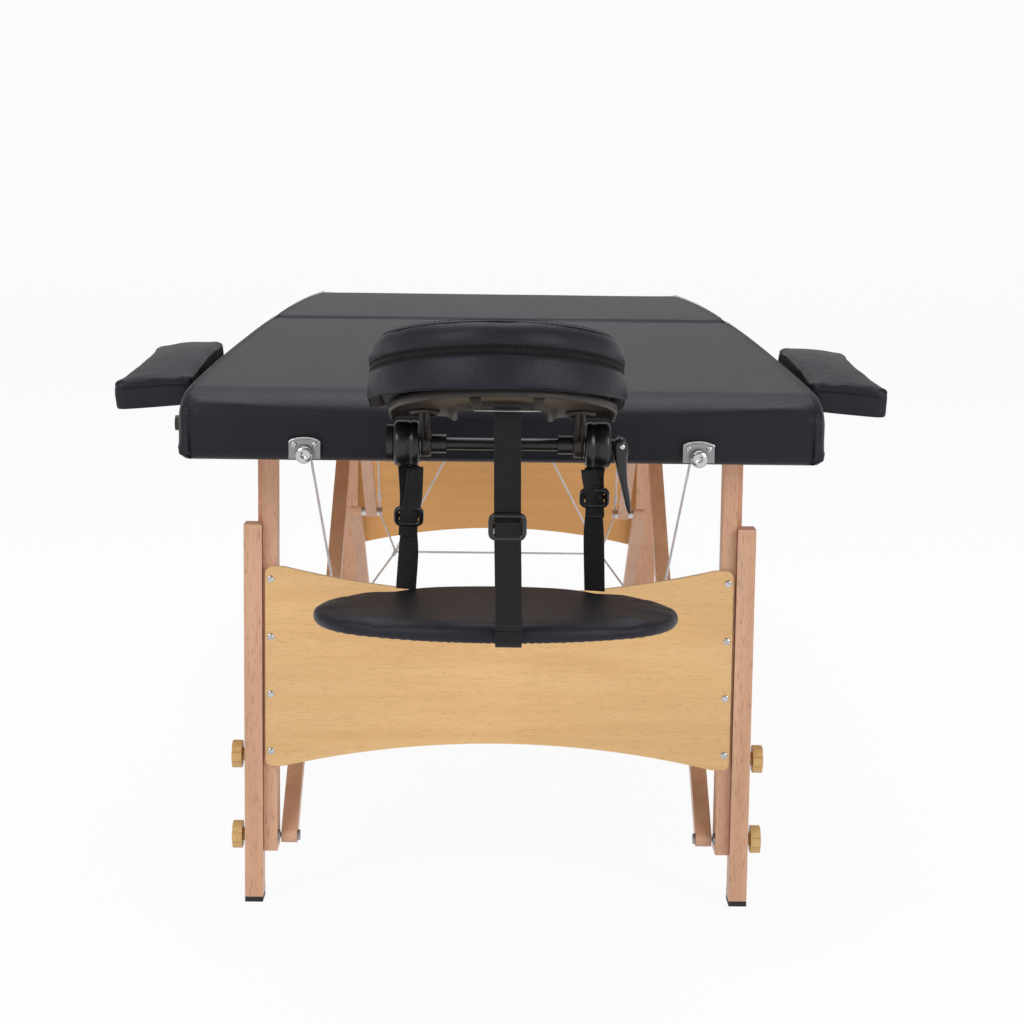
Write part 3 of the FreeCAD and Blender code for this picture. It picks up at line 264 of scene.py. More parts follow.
KNOB = wood("knob_wood", "z",
            [(0.3, (0.61, 0.36, 0.115)), (0.5, (0.70, 0.44, 0.165)), (0.7, (0.76, 0.51, 0.21))],
            (0.34, 0.17, 0.05), 1.6)
STEEL = metal("plated_steel", (0.33, 0.33, 0.335), 0.36)
BRIGHT = metal("bright_screw", (0.62, 0.61, 0.60), 0.22)
RUBBER = moulded("black_rubber", (0.008, 0.008, 0.009), (0.014, 0.014, 0.015), 0.62)
PLASTIC = moulded("brown_black_plastic", (0.017, 0.0125, 0.0095), (0.028, 0.0215, 0.017), 0.44)
TUBE = moulded("satin_black_tube", (0.006, 0.006, 0.0065), (0.011, 0.011, 0.012), 0.22, 2200, 0.06)
GLOSS = moulded("gloss_black_plastic", (0.006, 0.006, 0.0066), (0.010, 0.010, 0.011), 0.30, 2600, 0.03)
STRAP = webbing("ribbed_strap", (0.0055, 0.0055, 0.006), (0.0150, 0.0150, 0.0160))
ZIP_TAPE = webbing("zipper_tape", (0.0030, 0.0030, 0.0034), (0.0120, 0.0120, 0.0130), 0.0008, 0.0)
THREAD = webbing("sewing_thread", (0.0120, 0.0125, 0.0165), (0.0300, 0.0310, 0.0380), 0.0004)
SLEEVE = moulded("clear_sleeve", (0.62, 0.62, 0.64), (0.74, 0.74, 0.76), 0.3)


# ---------------------------------------------------------------- mesh helpers
def piece(name, verts, faces, body, materials, smooth=True, face_materials=None, uvs=None):
    """A mesh in the row frame that rides on a CAD body, or on none."""
    mesh = bpy.data.meshes.new(name)
    mesh.from_pydata([tuple(v) for v in verts], [], [tuple(f) for f in faces])
    for material in materials if isinstance(materials, (list, tuple)) else [materials]:
        mesh.materials.append(material)
    if face_materials is not None:
        mesh.polygons.foreach_set("material_index", np.asarray(face_materials, np.int32))
    if uvs is not None:
        layer = mesh.uv_layers.new(name="metres")
        corner = np.zeros(len(mesh.loops), np.int32)
        mesh.loops.foreach_get("vertex_index", corner)
        layer.data.foreach_set("uv", np.asarray(uvs, np.float32)[corner].ravel())
    mesh.polygons.foreach_set("use_smooth", np.full(len(mesh.polygons), smooth))
    mesh.validate()
    mesh.update()
    thing = bpy.data.objects.new(name, mesh)
    scene.collection.objects.link(thing)
    if body:
        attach(thing, body)
    return thing


def weave(rows, columns, round_rows=False, round_columns=False, start=0):
    """Quads over a grid of points, row by row."""
    quads = []
    for i in range(rows if round_rows else rows - 1):
        for j in range(columns if round_columns else columns - 1):
            k, m = (i + 1) % rows, (j + 1) % columns
            quads.append((start + i * columns + j, start + i * columns + m,
                          start + k * columns + m, start + k * columns + j))
    return quads


class Build:
    """Collects grids and loops into one mesh."""

    def __init__(self):
        self.verts, self.faces, self.marks, self.uvs = [], [], [], []

    def grid(self, points, round_rows=False, round_columns=False, mark=0, caps=False, uv=None):
        points = np.asarray(points, float)
        rows, columns = points.shape[:2]
        start = len(self.verts)
        self.verts += [tuple(p) for p in points.reshape(-1, 3)]
        uv = np.zeros((rows * columns, 2)) if uv is None else np.asarray(uv).reshape(-1, 2)
        self.uvs += [tuple(p) for p in uv]
        quads = weave(rows, columns, round_rows, round_columns, start)
        if caps:
            quads.append(tuple(range(start, start + columns))[::-1])
            quads.append(tuple(range(start + (rows - 1) * columns, start + rows * columns)))
        self.faces += quads
        self.marks += [mark] * len(quads) if np.isscalar(mark) else list(mark)

    def tube(self, path, radius, sides=8, closed=False):
        """A round cord along a path."""
        path = np.asarray(path, float)
        ahead = np.roll(path, -1, 0) - np.roll(path, 1, 0)
        if not closed:
            ahead[0], ahead[-1] = path[1] - path[0], path[-1] - path[-2]
        ahead = unit(ahead)
        guide = np.array([0.31, 0.17, 0.93])
        side = unit(np.cross(ahead, guide))
        up = np.cross(side, ahead)
        turn = np.linspace(0, TAU, sides, endpoint=False)
        ring = path[:, None] + np.asarray(radius).reshape(-1, 1, 1) * (
            np.cos(turn)[None, :, None] * side[:, None] + np.sin(turn)[None, :, None] * up[:, None])
        self.grid(ring, round_rows=closed, round_columns=True, caps=not closed)

    def lathe(self, centre, axis, profile, sides):
        """Turns a list of (along, radius) round an axis through a point."""
        axis = np.asarray(axis, float)
        one = np.cross(axis, (0.0, 0.0, 1.0) if abs(axis[2]) < 0.9 else (1.0, 0.0, 0.0))
        one /= np.linalg.norm(one)
        two = np.cross(axis, one)
        turn = np.linspace(0, TAU, sides, endpoint=False)
        rings = [np.asarray(centre) + along * axis + radius * (
            np.cos(turn)[:, None] * one + np.sin(turn)[:, None] * two) for along, radius in profile]
        self.grid(rings, round_columns=True, caps=True)

    def done(self, name, body, slot, materials, smooth=True):
        return piece(name, self.verts, self.faces, body, materials, smooth, self.marks, self.uvs)


def tidy(thing, angle, bevel):
    """Soft edges for a hard piece: a small bevel and normals that follow the faces."""
    if bevel:
        made = thing.modifiers.new("edge", "BEVEL")
        made.width = bevel
        made.segments = 2
        made.limit_method = "ANGLE"
        made.angle_limit = math.radians(angle)
        made.harden_normals = True


def weld(thing):
    """Joins points that lie on each other."""
    thing.modifiers.new("weld", "WELD").merge_threshold = 2e-5
    flatten(thing)
    return thing


def flatten(thing):
    """Applies a piece's modifiers."""
    shown = thing.evaluated_get(bpy.context.evaluated_depsgraph_get())
    mesh = bpy.data.meshes.new_from_object(shown)
    thing.modifiers.clear()
    old = thing.data
    thing.data = mesh
    bpy.data.meshes.remove(old)


def positions(thing, what="co"):
    """A mesh's points, or another value that each of them has, as rows of three."""
    found = np.zeros(len(thing.data.vertices) * 3)
    thing.data.vertices.foreach_get(what, found)
    return found.reshape(-1, 3)


def place(thing, points):
    """Moves a mesh's points to these places."""
    thing.data.vertices.foreach_set("co", points.ravel())
    thing.data.update()


def crumple(points, *layers):
    """Smooth noise at each point: the sum of layers of (height, scale along x, y and z, offset)."""
    return np.array([sum(height * noise.noise(Vector(p * scale + offset)) for height, scale, offset in layers)
                     for p in points])


def swell(thing, shift):
    """Moves each point of a mesh along its normal."""
    place(thing, positions(thing) + positions(thing, "normal") * shift[:, None])


def puff(thing, held, pressure, cap):
    """Blows the cover out between its seams with a cloth simulation, never further than cap."""
    frames, stiff = 20, 18
    rest = positions(thing)
    group = thing.vertex_groups.new(name="seams")
    group.add([int(i) for i in np.flatnonzero(held)], 1.0, "REPLACE")
    cloth = thing.modifiers.new("cover", "CLOTH")
    settings = cloth.settings
    settings.quality = 6
    settings.mass = 0.3
    settings.tension_stiffness = settings.compression_stiffness = stiff
    settings.shear_stiffness = stiff / 2
    settings.bending_stiffness = 0.6
    settings.use_pressure = True
    settings.uniform_pressure_force = pressure
    settings.vertex_group_mass = "seams"
    settings.effector_weights.gravity = 0
    cloth.collision_settings.use_collision = False
    cloth.point_cache.frame_start = 1
    cloth.point_cache.frame_end = frames
    for at in range(1, frames + 1):
        scene.frame_set(at)
    shown = thing.evaluated_get(bpy.context.evaluated_depsgraph_get())
    mesh = shown.to_mesh()
    moved = np.zeros(len(mesh.vertices) * 3)
    mesh.vertices.foreach_get("co", moved)
    shown.to_mesh_clear()
    thing.modifiers.clear()
    thing.vertex_groups.clear()
    scene.frame_set(1)
    shift = moved.reshape(-1, 3) - rest
    far = np.linalg.norm(shift, axis=1)
    far[far < 1e-9] = 1e-9
    shift *= (cap * np.tanh(far / cap) / far)[:, None]
    place(thing, rest + shift)


def refine(thing):
    """One subdivision, applied."""
    made = thing.modifiers.new("fine", "SUBSURF")
    made.levels = made.render_levels = 1
    flatten(thing)


def unit(vectors):
    """The same directions, each of length 1."""
    return vectors / np.linalg.norm(vectors, axis=-1, keepdims=True)


def heading(path):
    """The direction of a path at each of its points."""
    return unit(np.gradient(path, axis=0))


def sideways(plan):
    """The direction out of a plan line at each of its points."""
    ahead = heading(plan)
    return np.stack([ahead[:, 1], -ahead[:, 0]], 1)


def distances(path):
    """How far along a path each of its points is."""
    return np.concatenate([[0], np.cumsum(np.linalg.norm(np.diff(path, axis=0), axis=1))])


def arc(centre, radius, start, end, count):
    turn = np.radians(np.linspace(start, end, count))
    return np.stack([centre[0] + radius * np.cos(turn), centre[1] + radius * np.sin(turn)], 1)


def even(points, step):
    """The same path with points about one step apart."""
    points = np.asarray(points, float)
    run = distances(points)
    count = max(2, int(round(run[-1] / step)) + 1)
    at = np.linspace(0, run[-1], count)
    return np.stack([np.interp(at, run, points[:, k]) for k in range(points.shape[1])], 1)


def cradle(points):
    """From the tilted cradle frame (x, y, height) to the row frame, in millimetres in and metres out."""
    p = np.asarray(points, float) / 1000
    out = np.empty_like(p)
    out[..., 0] = p[..., 0]
    out[..., 1] = CRADLE_Y + p[..., 1] * math.cos(TILT) + p[..., 2] * math.sin(TILT)
    out[..., 2] = CRADLE_Z - p[..., 1] * math.sin(TILT) + p[..., 2] * math.cos(TILT)
    return out


def stitches(build, path, normals, length=0.0042, gap=0.0016):
    """Short thread stitches along a path on a surface, each sunk at its ends and proud in its middle."""
    radius, sunk, proud = 0.00038, 0.00012, 0.0002
    run = distances(path)
    at = 0.0
    while at + length < run[-1]:
        t = np.linspace(at, at + length, 5)
        line = np.stack([np.interp(t, run, path[:, k]) for k in range(3)], 1)
        out = np.stack([np.interp(t, run, normals[:, k]) for k in range(3)], 1)
        line += out * (proud * np.sin(np.linspace(0, math.pi, 5)) - sunk)[:, None]
        build.tube(line, radius, 5)
        at += length + gap
    return build


# ---------------------------------------------------------------- table cushions
HALF = 0.330          # half the width of the top
TOP = 0.612
LOW = 0.524
TUCK = 0.012          # how far the cover turns in under the frame
SIDE_ROUND = 0.018
SEAM_X = 0.3225
STITCH_X = SEAM_X - 0.0040
SEAM_WIDTH = 0.0013
SEAM_DEPTH = 0.0017


def end_profile():
    """Side view of a cushion as (distance from its outer end, height), from the lip under the end to the fold."""
    length = FOLD_Y - 0.001 - END_Y
    crown, nose, nose_height, fold = 24.0, 0.062, 0.033, 0.032
    flat = length - fold - 0.0266
    lean = math.degrees(math.asin((flat - nose) / crown))
    nose_z = TOP - crown + crown * math.cos(math.radians(lean)) - nose_height
    parts = [
        [(0.017, LOW), (TUCK, LOW)],
        arc((TUCK, LOW + TUCK), TUCK, 270, 180, 7),
        [(nose * (1 - math.cos(a)), nose_z + nose_height * math.sin(a)) for a in np.radians(np.arange(0, 90, 6))],
        arc((flat, TOP - crown), crown, 90 + lean, 90, 24),
        [(length - fold, TOP)],
        arc((length - fold, TOP - fold), fold, 90, 0, 9),
        arc((length - 0.006, LOW + 0.006), 0.006, 0, -90, 5),
        [(length - 0.011, LOW)],
    ]
    return np.concatenate([np.asarray(p, float) for p in parts])


def tuck(points):
    """Draws the lower corners of the side walls in, as the cover does where it turns under the frame."""
    points = np.array(points, float)
    start = HALF - TUCK - 0.010
    drop = np.clip(LOW + TUCK - points[:, 2], 0, TUCK)
    limit = HALF - TUCK + np.sqrt(TUCK ** 2 - drop ** 2)
    wide = np.abs(points[:, 0])
    moved = start + (wide - start) * (limit - start) / (HALF - start)
    points[:, 0] = np.where(wide > start, np.sign(points[:, 0]) * moved, points[:, 0])
    return points


def cushion(name, node, body, mirrored):
    """Cover of one half: a sheet over its top and ends, a wall down each side, and its two rows of stitches."""
    path = even(end_profile(), 0.0065)
    ahead = heading(path)
    outward = np.stack([-ahead[:, 1], ahead[:, 0]], 1)

    edge = [HALF - SIDE_ROUND * (1 - math.cos(a)) for a in np.radians((0, 18, 34))]
    edge += [SEAM_X + d for d in (0.0030, 0.0014, 0.0, -0.0014, -0.0030)]
    edge += [SEAM_X - 0.0055, HALF - SIDE_ROUND + 0.006, HALF - SIDE_ROUND + 0.001]
    middle = np.linspace(-HALF + SIDE_ROUND + 0.004, HALF - SIDE_ROUND - 0.004, 74)
    xs = np.concatenate([-np.array(edge), middle, np.array(edge[::-1])])
    past = np.clip(np.abs(xs) - (HALF - SIDE_ROUND), 0, SIDE_ROUND)
    inset = SIDE_ROUND - np.sqrt(SIDE_ROUND ** 2 - past ** 2)
    inset += SEAM_DEPTH * np.exp(-((np.abs(xs) - SEAM_X) / SEAM_WIDTH) ** 2)

    share = np.clip(1 + np.minimum(outward[:, 1], 0), 0, 1)
    yz = path[:, None, :] - outward[:, None, :] * (share[:, None] * inset[None, :])[..., None]
    y = END_Y + yz[..., 0]
    if mirrored:
        y = 2 * FOLD_Y - y
    sheet = np.stack([np.broadcast_to(xs, y.shape), y, yz[..., 1]], -1)
    if not mirrored:
        sheet = sheet[:, ::-1]
    build = Build()
    build.grid(sheet)
    keep = np.flatnonzero(ahead[:, 0] > 0.05)
    for column in (0, -1):
        rim = sheet[keep, column]
        wall = np.stack([rim * (1 - t) + np.stack([rim[:, 0], rim[:, 1], np.full(len(rim), LOW)], 1) * t
                         for t in (0, 0.16, 0.32, 0.48, 0.62, 0.74, 0.84, 0.91, 0.96, 1)], 0)
        build.grid(wall if column == 0 else wall[::-1])
        low = wall[5:, 0]
        side, out = np.sign(low[0, 0]), 1 if mirrored else -1
        gusset = np.stack([low + (-0.0075 * side, 0.0135 * out, 0),
                           low + (-0.0015 * side, 0.0065 * out, 0), low], 1)
        build.grid(gusset if column == 0 else gusset[::-1])
    thing = weld(build.done(name, body, "vinyl", VINYL))
    at = positions(thing)
    wide = np.abs(at[:, 0])
    held = (np.abs(wide - SEAM_X) < 0.0028) | (at[:, 2] < LOW + 0.012) | (wide > HALF - 0.0008)
    place(thing, tuck(at))
    puff(thing, held, 4.0, 0.0035)
    at = positions(thing)
    seed = 3.7 if mirrored else 0.0
    shift = crumple(at, (0.0006, (5, 3, 9), (seed, 0, 0)), (0.00012, (17, 9, 23), (0, seed, 0)))
    at[:, 2] += shift * np.clip((at[:, 2] - LOW) / 0.05, 0, 1)
    place(thing, at)
    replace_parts(thing, node)

    above = path[:, 1] > LOW + 0.004
    facing = outward[above]
    spot = path[above] - facing * 0.0008
    y = END_Y + spot[:, 0]
    y = 2 * FOLD_Y - y if mirrored else y
    normal = np.stack([np.zeros(len(y)), -facing[:, 0] if mirrored else facing[:, 0], facing[:, 1]], 1)
    thread = Build()
    for sign in (-1, 1):
        stitches(thread, np.stack([np.full(len(y), sign * STITCH_X), y, spot[:, 1]], 1), normal)
    thread.verts = [tuple(p) for p in tuck(thread.verts)]
    thread.done(name + "_stitches", body, "vinyl", THREAD)


cushion("head_cushion_cover", "head_cushion", "head_half", False)
cushion("foot_cushion_cover", "foot_cushion", "foot_half", True)


# ---------------------------------------------------------------- face pad
PAD_RADIUS = 83.5
PAD_CENTRE = -58.0


def horseshoe(radius, rear, step):
    """Plan of the pad's middle line, from the left rear end round the front to the right rear end."""
    front = arc((0, PAD_CENTRE), radius, 180, 360, int(math.pi * radius / step))
    straight = np.arange(rear + PAD_CENTRE, PAD_CENTRE, -step)
    left = np.stack([np.full(len(straight), -radius), straight], 1)
    right = np.stack([np.full(len(straight), radius), straight[::-1]], 1)
    return np.concatenate([left, front, right])


def pad_section():
    """Closed outline of the pad in (outward, height) with the kind of each step: 0 vinyl, 1 tape, 2 underside."""
    points, kinds = [], []

    def add(some, kind):
        for p in some:
            points.append((p[0], p[1] + PAD_LOW))
            kinds.append(kind)

    add([(24.6, 0.2), (24.9, -2.0), (26.0, -3.6), (30.0, -4.8), (35.0, -5.4)], 2)
    add([(37.2, -5.6), (38.6, -4.4), (39.2, -1.0), (39.5, 6.0), (39.3, 15.0), (38.4, 22.0), (37.8, 24.4)], 0)
    add([(35.8, 25.3), (36.1, 26.6), (36.3, 29.6), (36.2, 33.0)], 1)
    add([(35.5, 34.4), (37.4, 35.6), (38.0, 40.0), (37.6, 45.0), (36.2, 49.5), (33.8, 53.2), (30.2, 56.3),
         (29.2, 56.6), (28.2, 58.4), (24.0, 60.8), (18.0, 62.7), (10.0, 63.8), (0.0, 64.2), (-10.0, 63.4),
         (-18.0, 61.4)], 0)
    add(arc((-17.5, 40), 21, 85, 180, 9), 0)
    add([(-38.4, 32), (-38.4, 22), (-38.2, 12)], 0)
    add(arc((-28.5, 10), 10, 190, 270, 5), 2)
    add([(x, 0) for x in (-18, -6, 6, 18)], 2)
    return np.array(points), kinds


def lift(y, w):
    """How far the pad's lower edge rises from its front towards its two arms."""
    to_front = np.clip((PAD_CENTRE - y) / PAD_RADIUS, 0, 1)
    return 9.0 * (1 - to_front ** 0.8) * np.clip((PAD_LOW + 12 - w) / 14, 0, 1)


def face_pad():
    """The horseshoe pad's cover with its zip band, welts, stitches and zip teeth."""
    plan = even(horseshoe(PAD_RADIUS, 72, 4.0), 4.0) + np.array([PAD_SIDE, 0.0])
    outward = sideways(plan)
    section, kinds = pad_section()
    middle = np.array([0.0, PAD_LOW + 30.0])
    run = distances(plan)
    ends = np.minimum(run, run[-1] - run)
    rings = []
    for p, n, near in zip(plan, outward, ends):
        share = min(1.0, near / 24.0)
        squeeze = math.sqrt(max(0.0, 1 - (1 - share) ** 2))
        ring = middle + (section - middle) * (0.35 + 0.65 * squeeze if share < 1 else 1.0)
        ring[:, 1] += lift(p[1], ring[:, 1]) * (section[:, 0] > 24)
        rings.append(np.stack([p[0] + n[0] * ring[:, 0], p[1] + n[1] * ring[:, 0], ring[:, 1]], 1))
    points = np.array(rings)
    build = Build()
    marks = kinds * (len(plan) - 1) + [0, 0]
    uv = np.stack([np.broadcast_to(section[None, :, 1] / 1000, points.shape[:2]),
                   np.broadcast_to(run[:, None] / 1000, points.shape[:2])], -1)
    build.grid(cradle(points), round_columns=True, caps=True, mark=marks, uv=uv)
    thing = build.done("face_pad_cover", "face_cradle", "vinyl", [VINYL, ZIP_TAPE, VINYL_UNDER])
    index = np.arange(len(thing.data.vertices)) % len(section)
    seams = [i for i, k in enumerate(kinds) if k == 1 or section[i, 1] < PAD_LOW + 1 and section[i, 0] < 38]
    seams += [i for i, p in enumerate(section) if abs(p[0] - 29.2) < 0.1 or abs(p[0] - 35.5) < 0.05]
    puff(thing, np.isin(index, seams), 4.0, 0.003)
    refine(thing)
    swell(thing, crumple(positions(thing), (0.0011, (21, 21, 26), NONE), (0.0005, (55, 55, 60), NONE)))
    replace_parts(thing, "face_pad")

    spare = [i for i, near in enumerate(ends) if near > 18]
    seams = Build()
    for q, w, radius in ((36.5, 25.1, 0.7), (36.2, 34.4, 0.7), (29.6, 57.0, 0.6), (37.3, -5.3, 0.8)):
        line = np.column_stack([plan[spare] + outward[spare] * q,
                                PAD_LOW + w + lift(plan[spare, 1], PAD_LOW + w)])
        seams.tube(cradle(line), radius / 1000, 6)
    seams.done("face_pad_welts", "face_cradle", "vinyl", VINYL_UNDER)
    top = np.column_stack([plan[spare] + outward[spare] * 27.2, np.full(len(spare), PAD_LOW + 59.4)])
    normals = np.broadcast_to(cradle([0, 0, 1000]) - cradle([0, 0, 0]), top.shape)
    stitches(Build(), cradle(top), normals, 0.0036, 0.0014).done(
        "face_pad_stitches", "face_cradle", "vinyl", THREAD)
    teeth = Build()
    for k in range(len(spare) - 1):
        a, b = plan[spare[k]], plan[spare[k + 1]]
        for t in (0.0, 0.25, 0.5, 0.75):
            spot = a * (1 - t) + b * t + outward[spare[k]] * 36.3
            middle = PAD_LOW + 29.8 + (0.55 if int(t * 4) % 2 else -0.55)
            teeth.tube(cradle([(*spot, middle - 0.8), (*spot, middle + 0.8)]), 0.00036, 4)
    teeth.done("face_pad_zipper", "face_cradle", "plastic", PLASTIC)


face_pad()


# ---------------------------------------------------------------- arm shelf
def shelf():
    """Thin padded board: an oval of four arcs, flat on top, with small pleats under its edge."""
    y0, half, deep, end_r = -923.5, 175.0, 103.0, 80.0
    end_x = half - end_r
    flat_r = (half ** 2 - 2 * half * end_r + deep ** 2) / (2 * (deep - end_r))
    join_x = end_x + end_r * end_x / (flat_r - end_r)
    join_y = end_r * (flat_r - deep) / (flat_r - end_r)
    corner = math.degrees(math.atan2(join_y, join_x - end_x))
    top = math.degrees(math.acos(join_x / flat_r))
    plan = np.concatenate([
        arc((end_x, 0), end_r, -corner, corner, 24)[:-1],
        arc((0, deep - flat_r), flat_r, top, 180 - top, 40)[:-1],
        arc((-end_x, 0), end_r, 180 - corner, 180 + corner, 24)[:-1],
        arc((0, flat_r - deep), flat_r, 180 + top, 360 - top, 40)[:-1],
    ])
    out = unit(plan)
    profile = [(-14, 400.4), (-8, 399.8), (-4, 398.4), (-1.4, 396.0), (-0.2, 393.0),
               (-0.4, 389.5), (-1.6, 386.6), (-3.4, 385.0), (-7, 384.2), (-14, 384.0)]
    rings = [(plan * share, 400.9 - 0.4 * share) for share in (0.06, 0.2, 0.35, 0.5, 0.65, 0.8, 0.9)]
    rings += [(plan + out * d, z) for d, z in profile]
    rings += [(plan * share, 384.0) for share in (0.85, 0.5, 0.06)]
    build = Build()
    points = [np.stack([p[:, 0] * 1.01 - 4.5, p[:, 1] + y0, np.full(len(p), z + 1.5)], 1) / 1000
              for p, z in rings[::-1]]
    under = 5
    marks = [1] * (len(plan) * under) + [0] * (len(plan) * (len(rings) - 1 - under)) + [1, 0]
    build.grid(points, round_columns=True, caps=True, mark=marks)
    thing = build.done("arm_shelf_cover", "hanging_shelf", "vinyl", [VINYL, VINYL_UNDER])
    puff(thing, positions(thing)[:, 2] < 0.391, 3.0, 0.0022)
    refine(thing)
    at = positions(thing)
    pleat = 0.0006 * np.sin(np.arctan2(at[:, 0], at[:, 1] - y0 / 1000) * 90)
    at[:, 2] += pleat * np.clip((0.389 - at[:, 2]) / 0.004, 0, 1)
    place(thing, at)
    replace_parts(thing, "arm_shelf")


shelf()


# ---------------------------------------------------------------- armrests
def armrest(sign, side):
    """One armrest's cover, waisted along its outer side and drooping outwards, with its front seam."""
    y0, y1, inner, outer, low, droop = -618.0, -295.0, 336.0, 424.0, 562.0, math.radians(5)
    half, waist_in = (y1 - y0) / 2, 12.0
    near_round, far_round, r = 11.0, 30.0, 10.0
    bend_r = (half ** 2 + waist_in ** 2) / (2 * waist_in)
    ends = 1 - np.cos(np.radians([0, 18, 34, 50, 64, 78, 90]))
    stations = np.concatenate([y0 + near_round * ends, np.linspace(y0 + 17, y1 - 37, 42),
                               y1 - far_round * ends[::-1]])

    def hang(x, y, z):
        return (sign * (inner + (x - inner) * math.cos(droop) + (z - low) * math.sin(droop)), y,
                low - (x - inner) * math.sin(droop) + (z - low) * math.cos(droop))

    def sizes(y):
        waist = math.sqrt(bend_r ** 2 - (y - (y0 + y1) / 2) ** 2) - (bend_r - waist_in)
        top = low + 34 + 15 * math.sin(min(1.0, (y - y0) / (y1 - 80 - y0)) * math.pi / 2)
        corner, near = (near_round, y - y0) if y - y0 < y1 - y else (far_round, y1 - y)
        pull = corner - math.sqrt(max(0.0, corner ** 2 - (corner - near) ** 2)) if near < corner else 0.0
        return inner + pull, outer - waist - pull, top - 0.4 * pull

    build = Build()
    rings = []
    for y in stations:
        a, b, d = sizes(y)
        ring = [(a + 5, low), (a + 1.2, low + 0.5), (a, low + 2.5)]
        ring += [(a, low + (d - r - low) * t) for t in (0.35, 0.7)]
        ring += [(a + 0.3, d - r), (a + 1.5, d - r + 1.2), (a + 0.9, d - r + 2.4)]
        ring += [tuple(p) for p in arc((a + r, d - r), r, 150, 90, 5)]
        ring += [(a + r + (b - a - 2 * r) * t, d + 2.5 * math.sin(math.pi * t))
                 for t in np.linspace(0.08, 0.92, 14)]
        ring += [tuple(p) for p in arc((b - r, d - r), r, 90, 30, 5)]
        ring += [(b - 0.9, d - r + 2.4), (b - 1.5, d - r + 1.2), (b - 0.3, d - r)]
        ring += [(b, low + (d - r - low) * t) for t in (0.7, 0.35)]
        ring += [(b, low + 2.5), (b - 1.2, low + 0.5), (b - 5, low)]
        rings.append([hang(x, y, z) for x, z in ring])
    points = np.array(rings) / 1000
    if sign > 0:
        points = points[:, ::-1]
    build.grid(points, round_columns=True, caps=True)
    thing = build.done("armrest_cover_" + side, side + "_armrest", "vinyl", VINYL)
    count = len(rings[0])
    index = np.arange(len(thing.data.vertices)) % count
    index = count - 1 - index if sign > 0 else index
    held = np.isin(index, [0, 1, 2, 6, count - 7, count - 3, count - 2, count - 1])
    puff(thing, held, 4.0, 0.0028)
    refine(thing)
    at = positions(thing)
    shift = crumple(at, (0.0009, (24, 15, 24), NONE), (0.0004, (60, 48, 60), NONE))
    swell(thing, shift * np.clip((at[:, 2] - 0.561) / 0.01, 0, 1))
    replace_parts(thing, "armrest_" + side)

    a, b, d = sizes(y0)
    front = np.array([hang(x, y0 - 1.6, d - 6.0 + 0.8 * math.sin(math.pi * (x - a) / (b - a)))
                      for x in np.linspace(a, b, 40)]) / 1000
    seam = Build()
    seam.tube(front, 0.0009, 6)
    seam.done("armrest_front_welt_" + side, side + "_armrest", "vinyl", VINYL_UNDER)
    row = front + np.array([0.0, 0.0018, 0.0042])
    stitches(Build(), row, np.tile([0, -0.7, 0.7], (len(row), 1)), 0.0038, 0.0016).done(
        "armrest_stitches_" + side, side + "_armrest", "vinyl", THREAD)


armrest(1, "right")
armrest(-1, "left")


# ---------------------------------------------------------------- straps
def ribbon(build, centres, wide, width, thick=0.0018):
    """Flat webbing along a path; wide gives the direction across it at each point."""
    centres = np.asarray(centres, float)
    wide = unit(np.asarray(wide, float))
    out = unit(np.cross(heading(centres), wide))
    width = np.broadcast_to(np.asarray(width, float), (len(centres),))
    run = distances(centres)
    section = [(-0.5, -0.35), (-0.47, -0.5), (-0.16, -0.5), (0.16, -0.5), (0.47, -0.5), (0.5, -0.35),
               (0.5, 0.35), (0.47, 0.5), (0.16, 0.5), (-0.16, 0.5), (-0.47, 0.5), (-0.5, 0.35)]
    points = np.stack([centres + wide * (width * s)[:, None] + out * (thick * t) for s, t in section], 1)
    uv = np.stack([np.stack([width * s for s, _ in section], 1),
                   np.broadcast_to(run[:, None], points.shape[:2])], -1)
    build.grid(points, round_columns=True, caps=True, uv=uv)


def bend(points):
    """A smooth line through a few points, in 3 mm steps."""
    points = [Vector(p) for p in points]
    curve = []
    padded = [points[0] * 2 - points[1]] + points + [points[-1] * 2 - points[-2]]
    for a, b, c, d in zip(padded, padded[1:], padded[2:], padded[3:]):
        for t in np.linspace(0, 1, 10, endpoint=False):
            curve.append(0.5 * (2 * b + (c - a) * t + (2 * a - 5 * b + 4 * c - d) * t * t
                                + (3 * b - a - 3 * c + d) * t ** 3))
    curve.append(points[-1])
    return even([tuple(p) for p in curve], 0.003)


def slider(build, centre, down, width, height=0.024):
    """A three-bar strap adjuster: rounded frame with a bar across its middle."""
    centre = np.asarray(centre, float)
    down = unit(np.asarray(down, float))
    side = np.array([1.0, 0.0, 0.0])
    out = np.cross(side, down)

    def at(u, v, w):
        return centre + side * u + down * v + out * w

    outline = []
    for cx, cy, start in ((1, 1, 0), (-1, 1, 90), (-1, -1, 180), (1, -1, 270)):
        corner = arc((cx * (width / 2 - 0.006), cy * (height / 2 - 0.006)), 0.0045, start, start + 90, 5)
        outline += [at(u, v, 0) for u, v in corner]
    build.tube(outline, 0.0026, 8, closed=True)
    end = width / 2 - 0.003
    build.tube([at(-end, 0, 0.00155), at(end, 0, 0.00155)], 0.0021, 8)


